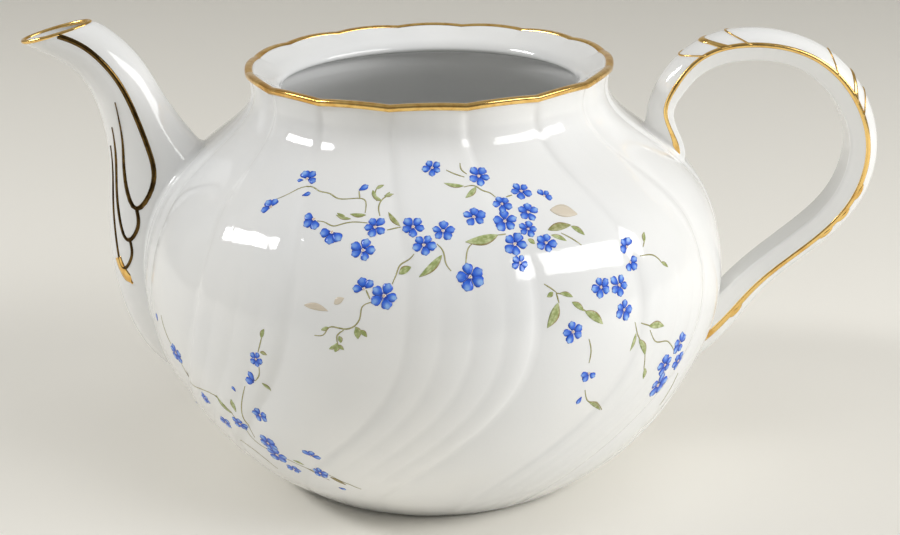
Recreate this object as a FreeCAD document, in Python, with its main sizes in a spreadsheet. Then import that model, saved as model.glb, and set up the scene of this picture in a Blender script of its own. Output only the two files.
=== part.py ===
"""Porcelain teapot without its lid: swirled body, luted spout, luted ear handle and gilding.

The pot axis is vertical, the handle points to +X and the spout to -X. The model stands on Z = 0.
Lengths are millimetres and angles are degrees.
"""

import FreeCAD, Part
import math
import os

from FreeCAD import Vector

# Driving dimensions, one sheet cell each
SIZES = {
    # outline of the body, radius at height
    "foot_radius": 45.4,
    "heel_radius": 57.0,
    "heel_height": 9.0,
    "lower_radius": 72.6,
    "lower_height": 29.6,
    "belly_radius": 80.4,
    "belly_height": 54.8,
    "shoulder_radius": 72.3,
    "shoulder_height": 83.0,
    "collar_radius": 59.3,
    "collar_height": 94.6,
    "neck_radius": 48.5,
    "neck_height": 108.0,
    "rim_radius": 49.8,
    "rim_height": 114.6,
    # swirled panels
    "panel_pairs": 8,
    "reeds_per_panel": 4,
    "groove_depth": 0.9,
    "reed_depth": 0.5,
    "groove_foot_share": 0.25,
    "groove_rim_share": 0.4,
    "swirl_belly": 7.6,
    "swirl_belly_height": 76.0,
    "swirl_foot": -29.0,
    "swirl_power": 1.5,
    # walls and openings
    "wall": 3.6,
    "floor_thickness": 4.0,
    "foot_recess_radius": 40.5,
    "foot_recess_depth": 2.6,
    "throat_radius": 40.0,
    "throat_length": 3.0,
    "ledge_drop": 1.0,
    "lip_width": 2.8,
    "lip_gilding_height": 1.5,
    "scallop_rise": 0.8,
    "strainer_hole_radius": 2.4,
    "strainer_hole_pitch": 7.6,
    "strainer_height": 62.0,
    # joints
    "slip_thickness": 0.6,
    # spout
    "spout_wall": 2.6,
    "spout_lip_gilding": 1.2,
    # handle
    "handle_width": 12.0,
    "handle_inner_share": 0.84,
    "edge_bead_radius": 0.7,
    "loop_reach": 7.6,
    "loop_height": 92.0,
    "cuff_proud": 0.4,
    "cuff_band_width": 4.2,
    "cuff_line_width": 1.3,
    "thumb_cuff_angle": -20.0,
    "thumb_cuff_spread": 15.0,
    "brow_cuff_angle": 64.0,
    "brow_cuff_spread": 13.0,
    # relief lines on the spout
    "tongue_bead_radius": 0.55,
}

# Spout sections from the root to the lip: reach past the belly, height, tilt, depth and width
SPOUT_SECTIONS = {
    "root": (-23.4, 34.5, 54.0, 32.0, 20.0),
    "heel": (-15.4, 45.5, 44.0, 41.7, 23.0),
    "swell": (-10.2, 61.0, 31.0, 42.4, 26.0),
    "shoulder": (-7.4, 75.0, 28.0, 38.5, 24.0),
    "throat": (-3.9, 90.0, 18.5, 25.4, 20.0),
    "neck": (0.5, 102.4, 23.0, 18.3, 17.0),
    "bend": (5.1, 112.6, 34.0, 16.0, 15.5),
    "flare": (11.4, 119.6, 33.0, 15.3, 14.5),
    "lip": (19.6, 124.0, 14.5, 19.8, 14.0),
}

# Handle sections from the upper root to the lower one: reach past the belly and height of the inner face,
# then of the outer face, and the dome's share of the depth between them; the lower root's reach counts
# from the body's lower ring instead
HANDLE_SECTIONS = {
    "upper_root": (-15.4, 80.0, -28.4, 88.0, 0.84),
    "upper_flare": (-11.0, 89.0, -22.0, 95.0, 0.82),
    "stem": (-14.2, 98.0, -20.8, 101.0, 0.66),
    "rise": (-11.8, 104.8, -17.4, 109.0, 0.56),
    "thumb": (-5.9, 110.8, -8.9, 117.6, 0.44),
    "crown": (7.6, 113.6, 7.6, 121.6, 0.44),
    "turn": (20.9, 110.0, 25.6, 116.6, 0.42),
    "brow": (31.2, 98.8, 38.9, 102.1, 0.42),
    "back": (34.0, 89.3, 42.4, 88.5, 0.42),
    "palm": (30.6, 76.0, 38.1, 71.7, 0.42),
    "sweep": (20.9, 65.5, 27.0, 59.3, 0.42),
    "tail": (6.1, 53.2, 12.6, 47.0, 0.42),
    "lower_flare": (-3.9, 43.0, -0.4, 31.3, 0.42),
    "lower_root": (-6.6, 36.0, -10.6, 18.0, 0.42),
}

# Relief lines on one flank of the spout: place along it, counted in sections from the root, and place
# across its depth, from -1 at the outer edge to 1 at the edge towards the pot
TONGUE_LINES = {
    "upper": (
        (7.62, 0.2), (6.46, 0.18), (5.2, 0.2), (4.2, 0.12), (3.5, -0.1),
        (3.32, -0.4), (3.58, -0.54), (4.53, -0.45), (5.44, -0.22),
    ),
    "middle": ((3.25, -0.42), (3.04, -0.43), (2.89, -0.59), (3.24, -0.74), (3.9, -0.78), (4.9, -0.63)),
    "lower": ((2.81, -0.61), (2.56, -0.63), (2.43, -0.75), (2.84, -0.84), (3.5, -0.87), (4.5, -0.85)),
}

# Counts of the sections that the lofts pass through
BODY_STATIONS = 17
WALL_STATIONS = 15
RINGS_PER_BEAD_POINT = 3
STRAINER_RING_HOLES = 6

doc = FreeCAD.newDocument("teapot")
sheet = doc.addObject("Spreadsheet::Sheet", "Sizes")


def write_sheet():
    """Put every driving dimension in the sheet, with its name beside it and as its alias."""
    rows = dict(SIZES)
    for name, values in SPOUT_SECTIONS.items():
        for part, value in zip(("reach", "height", "tilt", "depth", "width"), values):
            rows[f"spout_{name}_{part}"] = value
    handle_parts = ("inner_reach", "inner_height", "outer_reach", "outer_height", "dome_share")
    for name, values in HANDLE_SECTIONS.items():
        for part, value in zip(handle_parts, values):
            rows[f"handle_{name}_{part}"] = value
    for row, (name, value) in enumerate(rows.items(), start=1):
        sheet.set(f"A{row}", name)
        sheet.set(f"B{row}", str(value))
        sheet.setAlias(f"B{row}", name)
    doc.recompute()


def size(name):
    """Return a driving dimension from the sheet."""
    return float(sheet.get(name))


def count(name):
    """Return a driving count from the sheet."""
    return int(round(size(name)))


def past_body(name, ring="belly"):
    """Return a distance from the pot axis whose driving dimension counts from a ring of the body."""
    return size(f"{ring}_radius") + size(name)


def polar(radius, angle, height):
    """Return the point at a radius, an angle from +X and a height."""
    turn = math.radians(angle)
    return Vector(radius * math.cos(turn), radius * math.sin(turn), height)


def feature(name, shape):
    """Add a freeform shape to the document."""
    item = doc.addObject("Part::Feature", name)
    item.Shape = shape
    return item


def boolean(kind, name, base, tool):
    """Add a two-object boolean to the document."""
    item = doc.addObject(kind, name)
    item.Base = base
    item.Tool = tool
    return item


def mirrored(name, source):
    """Add the mirror image of an object, from behind the spout and handle plane to the front of it."""
    item = doc.addObject("Part::Mirroring", name)
    item.Source = source
    item.Normal = Vector(0, 1, 0)
    return item


def body_outline(grow=0.0):
    """Return the outer half profile of the body, grown outwards, as a curve in the XZ plane."""
    names = ("heel", "lower", "belly", "shoulder", "collar", "neck", "rim")
    points = [Vector(size("foot_radius") + grow, 0, 0)]
    points += [Vector(size(f"{name}_radius") + grow, 0, size(f"{name}_height")) for name in names]
    curve = Part.BSplineCurve()
    curve.interpolate(points)
    return curve


def outline_points(steps):
    """Return points spread evenly along the outer half profile."""
    return body_outline().discretize(Number=steps)


def eased(share):
    """Return a share from 0 to 1 with a soft start and a soft end."""
    held = min(1.0, max(0.0, share))
    return held * held * (3.0 - 2.0 * held)


def swirl(height):
    """Return how far the panels have turned at a height, positive to the right seen from the front."""
    crest = size("swirl_belly_height")
    belly = size("swirl_belly")
    if height >= crest:
        return belly * (1.0 - eased((height - crest) / (size("neck_height") - crest)))
    share = ((crest - height) / crest) ** size("swirl_power")
    return belly + (size("swirl_foot") - belly) * eased(share)


def groove_share(height):
    """Return how deep the grooves are at a height, as a share: shallow at the foot and the rim."""
    rise = min(1.0, height / size("lower_height"))
    fall = min(1.0, (size("rim_height") - height) / (size("rim_height") - size("collar_height")))
    foot = size("groove_foot_share")
    rim = size("groove_rim_share")
    return foot + (1.0 - foot) * rise * (rim + (1.0 - rim) * max(fall, 0.0))


def panel_section(radius, height):
    """Return one closed section of the body: reeded panels between plain, swelling ones."""
    pairs = count("panel_pairs")
    reeds = count("reeds_per_panel")
    panel = 180.0 / pairs
    reed = panel / reeds
    groove = radius - size("groove_depth") * groove_share(height)
    valley = radius - size("reed_depth") * groove_share(height)
    crest = 0.5 * (radius + valley)
    edges = []
    for pair in range(pairs):
        start = pair * 2.0 * panel - 0.5 * panel + swirl(height)
        for index in range(reeds):
            left = groove if index == 0 else valley
            right = groove if index == reeds - 1 else valley
            first = polar(left, start + index * reed, height)
            middle = polar(crest, start + (index + 0.5) * reed, height)
            last = polar(right, start + (index + 1) * reed, height)
            edges.append(Part.Arc(first, middle, last).toShape())
        first = polar(groove, start + panel, height)
        middle = polar(radius, start + 1.5 * panel, height)
        last = polar(groove, start + 2.0 * panel, height)
        edges.append(Part.Arc(first, middle, last).toShape())
    return Part.Wire(edges)


def body_blank():
    """Return the solid outer form of the body, from the foot to the rim."""
    sections = [panel_section(point.x, point.z) for point in outline_points(BODY_STATIONS)]
    return Part.makeLoft(sections, True, False)


def turned(edges):
    """Return the solid that a closed half profile, given as edges, sweeps about the pot axis."""
    return Part.Face(Part.Wire(edges)).revolve(Vector(), Vector(0, 0, 1), 360)


def chain(points):
    """Return the straight edges that join points in order."""
    return [Part.makeLine(first, last) for first, last in zip(points, points[1:])]


def joint_form():
    """Return the plain turned form of the body with the luting slip on it."""
    curve = body_outline(size("slip_thickness"))
    foot = curve.StartPoint
    rim = curve.EndPoint
    closing = chain([rim, Vector(0, 0, rim.z), Vector(0, 0, foot.z), foot])
    return turned([curve.toShape()] + closing)


def land_height():
    """Return the height of the rim land at the dips between its scallops."""
    return size("rim_height") - size("lip_gilding_height") - size("scallop_rise")


def cavity_form():
    """Return the turned space inside the pot: floor, wall, lid throat and funnel ledge."""
    outline = body_outline()
    floor = size("foot_recess_depth") + size("floor_thickness")
    throat_top = land_height() - size("ledge_drop")
    throat_end = throat_top - size("throat_length")
    wall_points = [Vector(size("foot_radius"), 0, floor)]
    for point in outline_points(WALL_STATIONS):
        tangent = outline.tangent(outline.parameter(point))[0]
        inward = Vector(-tangent.z, 0, tangent.x)
        inside = point + inward * size("wall")
        if floor + size("wall") < inside.z < throat_end - 0.5 * size("wall"):
            wall_points.append(inside)
    wall = Part.BSplineCurve()
    wall.interpolate(wall_points)
    lip = size("rim_radius") - size("lip_width")
    above = size("rim_height") + size("wall")
    ledge = [
        wall_points[-1],
        Vector(size("throat_radius"), 0, throat_end),
        Vector(size("throat_radius"), 0, throat_top),
        Vector(lip, 0, land_height()),
        Vector(lip, 0, above),
        Vector(0, 0, above),
        Vector(0, 0, floor),
        wall_points[0],
    ]
    return turned([wall.toShape()] + chain(ledge))


def scallop_ring(section):
    """Return a ring of scallops, each lofted through radial sections that ride on its arch.

    The section is a function of the height of the rim land that returns a closed wire at angle 0.
    """
    scallops = 2 * count("panel_pairs")
    pitch = 360.0 / scallops
    wires = []
    for place in (-0.5, -0.25, 0.0, 0.25, 0.5):
        arch = land_height() + size("scallop_rise") * (1.0 - 4.0 * place * place)
        wire = section(arch)
        wire.rotate(Vector(), Vector(0, 0, 1), place * pitch)
        wires.append(wire)
    scallop = Part.makeLoft(wires, True, False)
    copies = []
    for index in range(scallops):
        copy = scallop.copy()
        copy.rotate(Vector(), Vector(0, 0, 1), index * pitch)
        copies.append(copy)
    return copies[0].multiFuse(copies[1:]).removeSplitter()


def trim_section(land):
    """Return the radial section of what is cut away above the rim land."""
    inner = size("throat_radius")
    outer = size("rim_radius") + size("wall")
    top = size("rim_height") + 2.0 * size("wall")
    corners = [Vector(inner, 0, land), Vector(outer, 0, land), Vector(outer, 0, top), Vector(inner, 0, top)]
    return Part.Wire(chain(corners + corners[:1]))


def lip_bead_section(land):
    """Return the radial section of the gilt lip: a flat seat under a rounded top."""
    outer = Vector(size("rim_radius"), 0, land)
    inner = Vector(size("rim_radius") - size("lip_width"), 0, land)
    crown = (outer + inner) * 0.5 + Vector(0, 0, size("lip_gilding_height"))
    return Part.Wire([Part.makeLine(inner, outer), Part.Arc(outer, crown, inner).toShape()])


def strainer_holes():
    """Return the strainer's piercings, a ring of holes round one, through the wall behind the spout."""
    pitch = size("strainer_hole_pitch")
    places = [(0.0, 0.0)]
    for index in range(STRAINER_RING_HOLES):
        turn = 2.0 * math.pi * index / STRAINER_RING_HOLES
        places.append((pitch * math.cos(turn), pitch * math.sin(turn)))
    holes = []
    for index, (across, up) in enumerate(places):
        hole = doc.addObject("Part::Cylinder", f"StrainerHole{index}")
        hole.setExpression("Radius", "Sizes.strainer_hole_radius")
        hole.setExpression("Height", "Sizes.belly_radius + Sizes.wall - Sizes.throat_radius")
        place = Vector(-size("throat_radius"), across, size("strainer_height") + up)
        hole.Placement = FreeCAD.Placement(place, FreeCAD.Rotation(Vector(0, 1, 0), -90))
        holes.append(hole)
    return holes


def pot_body(blank):
    """Hollow the body blank, trim its rim, recess its foot and pierce its strainer."""
    recess = doc.addObject("Part::Cone", "FootRecess")
    recess.setExpression("Radius1", "Sizes.foot_recess_radius")
    recess.setExpression("Radius2", "Sizes.foot_recess_radius - Sizes.foot_recess_depth")
    recess.setExpression("Height", "Sizes.foot_recess_depth")
    tools = doc.addObject("Part::MultiFuse", "BodyTools")
    cavity = feature("Cavity", cavity_form())
    trim = feature("RimTrim", scallop_ring(trim_section))
    tools.Shapes = [cavity, trim, recess] + strainer_holes()
    return boolean("Part::Cut", "BodyHollow", blank, tools)


def oval(centre, across, depth, width):
    """Return a closed oval wire of four quarters, in the plane of a direction and the Y axis."""
    quarters = []
    for index in range(4):
        start = math.radians(90.0 * index)
        arc = Part.ArcOfCircle(Part.Circle(), start, start + 0.5 * math.pi)
        quarters.append(arc.toShape())
    onward = across.cross(Vector(0, 1, 0))
    stretch = FreeCAD.Matrix(
        across.x * 0.5 * depth, 0, onward.x, centre.x,
        across.y * 0.5 * depth, 0.5 * width, onward.y, centre.y,
        across.z * 0.5 * depth, 0, onward.z, centre.z,
        0, 0, 0, 1,
    )
    return Part.Wire(quarters).transformGeometry(stretch).Wires[0]


def spout_section(name, inset=0.0, ahead=0.0):
    """Return one oval section of the spout, inset by a wall and moved ahead along the flow."""
    tilt = math.radians(size(f"spout_{name}_tilt"))
    across = Vector(math.cos(tilt), 0, math.sin(tilt))
    onward = Vector(-math.sin(tilt), 0, math.cos(tilt))
    centre = Vector(-past_body(f"spout_{name}_reach"), 0, size(f"spout_{name}_height")) + onward * ahead
    depth = size(f"spout_{name}_depth") - 2.0 * inset
    width = size(f"spout_{name}_width") - 2.0 * inset
    return oval(centre, across, depth, width)


def spout_blank():
    """Return the solid outer form of the spout, with its root inside the body."""
    return Part.makeLoft([spout_section(name) for name in SPOUT_SECTIONS], True, False)


def spout_channel():
    """Return the space inside the spout, run out past the lip."""
    wall = size("spout_wall")
    names = list(SPOUT_SECTIONS)[1:]
    sections = [spout_section(name, wall) for name in names]
    sections.append(spout_section("lip", wall, 2.0 * size("spout_lip_gilding")))
    return Part.makeLoft(sections, True, False)


def spout_lip_ring():
    """Return the gilt ring on the lip of the spout."""
    tilt = math.radians(size("spout_lip_tilt"))
    rise = Vector(-math.sin(tilt), 0, math.cos(tilt)) * size("spout_lip_gilding")
    whole = Part.Face(spout_section("lip")).extrude(rise)
    opening = Part.Face(spout_section("lip", size("spout_wall"))).extrude(rise)
    return whole.cut(opening)


def handle_frame(name):
    """Return a handle section's inner point, outward direction and thickness."""
    ring = "lower" if name == "lower_root" else "belly"
    inner = Vector(past_body(f"handle_{name}_inner_reach", ring), 0, size(f"handle_{name}_inner_height"))
    outer = Vector(past_body(f"handle_{name}_outer_reach", ring), 0, size(f"handle_{name}_outer_height"))
    thickness = (outer - inner).Length
    return inner, (outer - inner) * (1.0 / thickness), thickness


def handle_corner(name, side):
    """Return the corner between a flank and the domed outer face; side is -1 in front, 1 behind."""
    inner, outward, thickness = handle_frame(name)
    flank = thickness * (1.0 - size(f"handle_{name}_dome_share"))
    return inner + outward * flank + Vector(0, side * 0.5 * size("handle_width"), 0)


def handle_section(name):
    """Return one section of the handle: flat inner face, two flanks and a domed outer face."""
    inner, outward, thickness = handle_frame(name)
    half = Vector(0, 0.5 * size("handle_width") * size("handle_inner_share"), 0)
    front = handle_corner(name, -1)
    back = handle_corner(name, 1)
    crown = inner + outward * thickness
    edges = chain([back, inner + half, inner - half, front])
    edges.append(Part.Arc(front, crown, back).toShape())
    return Part.Wire(edges)


def cuff_section(name):
    """Return the section that gilt cuffs are cut from: a lens proud of the dome and sunk at its corners."""
    inner, outward, thickness = handle_frame(name)
    proud = outward * size("cuff_proud")
    front = handle_corner(name, -1) - proud
    back = handle_corner(name, 1) - proud
    crown = inner + outward * thickness + proud
    return Part.Wire([Part.makeLine(back, front), Part.Arc(front, crown, back).toShape()])


def handle_loft(section):
    """Return the solid lofted through a section of the handle, with both roots inside the body."""
    return Part.makeLoft([section(name) for name in HANDLE_SECTIONS], True, False)


def bead_along(path, places, radius):
    """Return a round bead lofted through rings that stand square to a path at places on it."""
    rings = []
    for point in places:
        along = path.tangent(path.parameter(point))[0]
        rings.append(Part.Wire(Part.makeCircle(radius, point, along)))
    return Part.makeLoft(rings, True, False)


def edge_bead(handle):
    """Return a round bead along the handle's back outer corner, stopped short of the ends in the body."""
    corner = max(handle.Shape.Edges, key=lambda edge: edge.CenterOfMass.y).Curve
    places = corner.discretize(Number=RINGS_PER_BEAD_POINT * len(HANDLE_SECTIONS))
    return bead_along(corner, places[1:-1], size("edge_bead_radius"))


def cuff_line(name, angle, width, proud, handle):
    """Return one gilt line across the domed outer face, at an angle about the loop's middle."""
    slab = doc.addObject("Part::Box", f"{name}Slab")
    slab.Length = width
    slab.setExpression("Width", "Sizes.handle_width - 2 * Sizes.edge_bead_radius")
    slab.setExpression("Height", "Sizes.handle_crown_outer_height")
    turn = FreeCAD.Rotation(Vector(0, 1, 0), angle)
    middle = Vector(past_body("loop_reach"), 0, size("loop_height"))
    corner = turn.multVec(Vector(-0.5 * width, size("edge_bead_radius") - 0.5 * size("handle_width"), 0))
    slab.Placement = FreeCAD.Placement(middle + corner, turn)
    band = boolean("Part::Common", f"{name}Band", proud, slab)
    return boolean("Part::Cut", f"{name}Line", band, handle)


def cuff(name, handle, proud):
    """Return a cuff's band and its two thinner lines, by node name."""
    angle = size(f"{name}_cuff_angle")
    spread = size(f"{name}_cuff_spread")
    lines = {
        "near_line": (angle - spread, size("cuff_line_width")),
        "band": (angle, size("cuff_band_width")),
        "far_line": (angle + spread, size("cuff_line_width")),
    }
    made = {}
    for part, (place, width) in lines.items():
        title = f"{name}_{part}".title().replace("_", "")
        made[f"handle_{name}_cuff_{part}"] = cuff_line(title, place, width, proud, handle)
    return made


def spout_middle_point(along, across):
    """Return a point in the spout's middle plane, at a place along its sections and across its depth."""
    names = list(SPOUT_SECTIONS)
    index = min(int(along), len(names) - 2)
    share = along - index
    mixed = {}
    for part in ("reach", "height", "tilt", "depth"):
        first = size(f"spout_{names[index]}_{part}")
        last = size(f"spout_{names[index + 1]}_{part}")
        mixed[part] = first + (last - first) * share
    tilt = math.radians(mixed["tilt"])
    offset = Vector(math.cos(tilt), 0, math.sin(tilt)) * (0.5 * mixed["depth"] * across)
    return Vector(-size("belly_radius") - mixed["reach"], 0, mixed["height"]) + offset


def tongue_bead(points, spout):
    """Return a round bead along a relief line, laid on the back flank of the spout."""
    laid = []
    for along, across in points:
        start = spout_middle_point(along, across)
        inside = Part.makeLine(start, start + Vector(0, size("belly_radius"), 0)).common(spout.Shape)
        laid.append(max((vertex.Point for vertex in inside.Vertexes), key=lambda point: point.y))
    path = Part.BSplineCurve()
    path.interpolate(laid)
    places = path.discretize(Number=RINGS_PER_BEAD_POINT * len(points))
    return bead_along(path, places, size("tongue_bead_radius"))


def luted(name, blank, joint):
    """Trim a blank where it meets the luting slip."""
    return boolean("Part::Cut", name, blank, joint)


def slip_layer(name, blank, joint, body):
    """Return the slip between the body and a luted blank."""
    inside = boolean("Part::Common", f"{name}Inside", blank, joint)
    return boolean("Part::Cut", f"{name}Layer", inside, body)


def separate(name, layer, upper):
    """Return the upper or the lower of the two solids in a slip layer."""
    solids = sorted(layer.Shape.Solids, key=lambda solid: solid.BoundBox.ZMax)
    return feature(name, solids[-1] if upper else solids[0])


def build():
    """Build every sub-part and return them by node name."""
    blank = feature("BodyBlank", body_blank())
    joint = feature("JointForm", joint_form())
    spout = feature("SpoutBlank", spout_blank())
    channel = feature("SpoutChannel", spout_channel())
    handle = feature("HandleBlank", handle_loft(handle_section))
    spout_tube = boolean("Part::Cut", "SpoutTube", spout, channel)
    handle_slip = slip_layer("HandleSlip", handle, joint, blank)
    nodes = {
        "pot_body": pot_body(blank),
        "spout": luted("SpoutLuted", spout_tube, joint),
        "handle": luted("HandleLuted", handle, joint),
        "spout_luting_slip": slip_layer("SpoutSlip", spout_tube, joint, blank),
        "rim_gilding": feature("RimGilding", scallop_ring(lip_bead_section)),
        "spout_lip_gilding": feature("SpoutLipGilding", spout_lip_ring()),
    }
    proud = feature("HandleProud", handle_loft(cuff_section))
    for name in ("thumb", "brow"):
        nodes.update(cuff(name, handle, proud))
    bead = luted("EdgeBeadLuted", feature("EdgeBead", edge_bead(handle)), joint)
    nodes["handle_back_edge_gilding"] = boolean("Part::Cut", "EdgeBack", bead, handle)
    nodes["handle_front_edge_gilding"] = mirrored("EdgeFront", nodes["handle_back_edge_gilding"])
    for name, points in TONGUE_LINES.items():
        title = f"{name.title()}Tongue"
        bead = feature(f"{title}Bead", tongue_bead(points, spout))
        back = boolean("Part::Cut", f"{title}Back", bead, spout)
        nodes[f"spout_back_{name}_tongue"] = back
        nodes[f"spout_front_{name}_tongue"] = mirrored(f"{title}Front", back)
    doc.recompute()
    nodes["handle_upper_luting_slip"] = separate("HandleSlipUpper", handle_slip, True)
    nodes["handle_lower_luting_slip"] = separate("HandleSlipLower", handle_slip, False)
    for name, item in nodes.items():
        item.Label = name
    doc.recompute()
    return nodes


def check(nodes):
    """Stop if any object failed or any sub-part is not one valid solid."""
    for item in doc.Objects:
        if "Invalid" in item.State or "Error" in item.State:
            raise RuntimeError(f"{item.Name} failed: {item.State}")
    for name, item in nodes.items():
        shape = item.Shape
        print(name, shape.isValid(), len(shape.Solids), round(shape.Volume, 2), shape.BoundBox)
        if shape.isNull() or not shape.isValid():
            raise RuntimeError(f"{name} is not a valid shape")


def write(nodes):
    """Centre the part over its footprint and write one file for each sub-part."""
    low = nodes["spout_lip_gilding"].Shape.optimalBoundingBox(False, False).XMin
    high = nodes["handle"].Shape.optimalBoundingBox(False, False).XMax
    shift = Vector(-0.5 * (low + high), 0, 0)
    os.makedirs("parts", exist_ok=True)
    for name, item in nodes.items():
        item.Placement = FreeCAD.Placement(shift, FreeCAD.Rotation())
        item.Shape.exportStep(f"parts/{name}.step")


write_sheet()
sub_parts = build()
check(sub_parts)
write(sub_parts)
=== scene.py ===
"""Porcelain teapot without its lid: glazed castings, gilding and flower transfers, on a pale floor.

Lengths in the classes are millimetres from the pot axis and the standing plane, with the handle towards
+X, the spout towards -X and the front towards -Y. Meshes are written in metres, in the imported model's frame.
Angles in the dataclass fields are degrees, and angles in the formulas are radians counted from +X.
"""

import logging
import math
from dataclasses import dataclass
from enum import Enum
from functools import cached_property
from typing import Callable, Iterable, Sequence

import bpy
import numpy as np
from mathutils import Matrix, Vector


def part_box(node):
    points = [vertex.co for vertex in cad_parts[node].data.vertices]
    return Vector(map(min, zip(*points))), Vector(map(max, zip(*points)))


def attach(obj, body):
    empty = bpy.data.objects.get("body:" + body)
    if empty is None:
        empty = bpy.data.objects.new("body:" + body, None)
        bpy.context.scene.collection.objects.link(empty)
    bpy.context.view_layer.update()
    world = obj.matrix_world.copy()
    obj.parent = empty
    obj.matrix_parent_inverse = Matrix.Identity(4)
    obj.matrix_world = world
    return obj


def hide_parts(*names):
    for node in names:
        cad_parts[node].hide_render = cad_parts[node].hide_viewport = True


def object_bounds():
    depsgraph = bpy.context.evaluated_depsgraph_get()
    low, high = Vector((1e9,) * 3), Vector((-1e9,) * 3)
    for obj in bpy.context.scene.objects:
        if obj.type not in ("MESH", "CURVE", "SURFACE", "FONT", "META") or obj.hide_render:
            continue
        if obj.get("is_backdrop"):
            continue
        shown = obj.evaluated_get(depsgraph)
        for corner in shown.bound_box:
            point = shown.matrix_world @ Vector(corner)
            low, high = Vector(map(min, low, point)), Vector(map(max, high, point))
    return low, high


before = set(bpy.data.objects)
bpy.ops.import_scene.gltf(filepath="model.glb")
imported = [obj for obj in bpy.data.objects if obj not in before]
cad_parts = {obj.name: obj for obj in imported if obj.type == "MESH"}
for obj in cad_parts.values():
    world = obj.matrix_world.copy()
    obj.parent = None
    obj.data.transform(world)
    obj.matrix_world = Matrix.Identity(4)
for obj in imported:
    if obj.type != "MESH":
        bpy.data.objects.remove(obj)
CAD_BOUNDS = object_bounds()

log = logging.getLogger("teapot")

Array = np.ndarray
Socket = bpy.types.NodeSocket
Material = bpy.types.Material
Pixel = tuple[float, float]
Range = tuple[float, float]
Outline = tuple[tuple[float, float], ...]
Colour = tuple[float, float, float, float]

MM = 0.001
BODY = "root"
AROUND = np.array([-1.0, 0.0, 1.0])


class Slot(Enum):
    """Material slots of the record."""

    PORCELAIN = "porcelain"
    GILDING = "gilding"
    FLOWER_ENAMEL = "flower_enamel"
    LEAF_ENAMEL = "leaf_enamel"


class Side(Enum):
    """The two faces of the pot: the turn that carries the front transfers there, and the sign of Y."""

    FRONT = (0.0, -1.0)
    BACK = (180.0, 1.0)


class Pose(Enum):
    """How a flower is drawn: the number of petals that show and the arc that they fill, in degrees."""

    OPEN = (5, 360.0)
    HALF = (3, 200.0)
    SIDE = (2, 110.0)
    BUD = (1, 0.0)


def pot_axis() -> Array:
    """Return the pot axis's place on the floor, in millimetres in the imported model's frame."""
    low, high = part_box("pot_body")
    return np.array([(low.x + high.x) / 2.0, (low.y + high.y) / 2.0, 0.0]) / MM


def eased(share: Array) -> Array:
    """Return 3s^2 - 2s^3 of a share that is held between 0 and 1."""
    held = np.clip(share, 0.0, 1.0)
    return held * held * (3.0 - 2.0 * held)


def unit(vectors: Array) -> Array:
    """Return vectors scaled to length 1 along their last axis."""
    return vectors / np.linalg.norm(vectors, axis=-1, keepdims=True)


def chord_sums(points: Array) -> Array:
    """Return the summed chords from the first point to each point."""
    return np.concatenate([[0.0], np.cumsum(np.linalg.norm(np.diff(points, axis=0), axis=1))])


def circle(count: int) -> Array:
    """Return even angles once round a circle."""
    return np.linspace(0.0, 2.0 * math.pi, count, endpoint=False)


def polar(radius: Array, angle: Array, height: Array) -> Array:
    """Return points at radii, angles and heights, with their coordinates on a new last axis."""
    radius, angle, height = np.broadcast_arrays(radius, angle, height)
    return np.stack([radius * np.cos(angle), radius * np.sin(angle), height], axis=-1)


def raised(sheet: Array, lift: Array | float) -> Array:
    """Return a sheet moved off itself by a lift, along its columns' direction crossed with its rows'."""
    normal = unit(np.cross(np.gradient(sheet, axis=1), np.gradient(sheet, axis=0)))
    return sheet + normal * np.asarray(lift, float)[..., None]


def link(name: str, data: bpy.types.ID) -> bpy.types.Object:
    """Add an object to the scene.

    Args:
        name: the object's name.
        data: the mesh, lamp or camera that it shows.

    Returns:
        The object.
    """
    made = bpy.data.objects.new(name, data)
    bpy.context.scene.collection.objects.link(made)
    return made


class Spline:
    """Natural cubic curve through points, spread by the chords between them.

    On each span the second derivative runs straight from one knot's value to the next. The values solve
    h0 m0 + 2 (h0 + h1) m1 + h1 m2 = 6 (slope1 - slope0), and are nought at both ends.
    """

    def __init__(self, points: Sequence[Sequence[float]], knots: Array | None = None) -> None:
        """Fit the curve.

        Args:
            points: the points, one row each.
            knots: the parameter at each point, or None for the summed chords.
        """
        self.points = np.asarray(points, float)
        self.knots = chord_sums(self.points) if knots is None else knots
        steps = np.diff(self.knots)
        slopes = np.diff(self.points, axis=0) / steps[:, None]
        system = np.eye(len(self.points))
        inner = np.arange(1, len(self.points) - 1)
        system[inner, inner - 1] = steps[:-1]
        system[inner, inner] = 2.0 * (steps[:-1] + steps[1:])
        system[inner, inner + 1] = steps[1:]
        right = np.zeros_like(self.points)
        right[1:-1] = 6.0 * np.diff(slopes, axis=0)
        self.bends = np.linalg.solve(system, right)

    @property
    def length(self) -> float:
        """Return the last knot."""
        return float(self.knots[-1])

    def at(self, place: Array) -> Array:
        """Return points of the curve.

        Args:
            place: places along the knots, in an array of any shape.

        Returns:
            The points, with their coordinates on a new last axis.
        """
        place = np.asarray(place, float)
        span = np.clip(np.searchsorted(self.knots, place, side="right") - 1, 0, len(self.knots) - 2)
        step = self.knots[span + 1] - self.knots[span]
        first = ((self.knots[span + 1] - place) / step)[..., None]
        last = 1.0 - first
        curve = (first**3 - first) * self.bends[span] + (last**3 - last) * self.bends[span + 1]
        line = first * self.points[span] + last * self.points[span + 1]
        return line + curve * (step[..., None] ** 2) / 6.0

    def even(self, count: int) -> Array:
        """Return points at even steps of the parameter, ends included."""
        return self.at(np.linspace(0.0, self.length, count))


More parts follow.
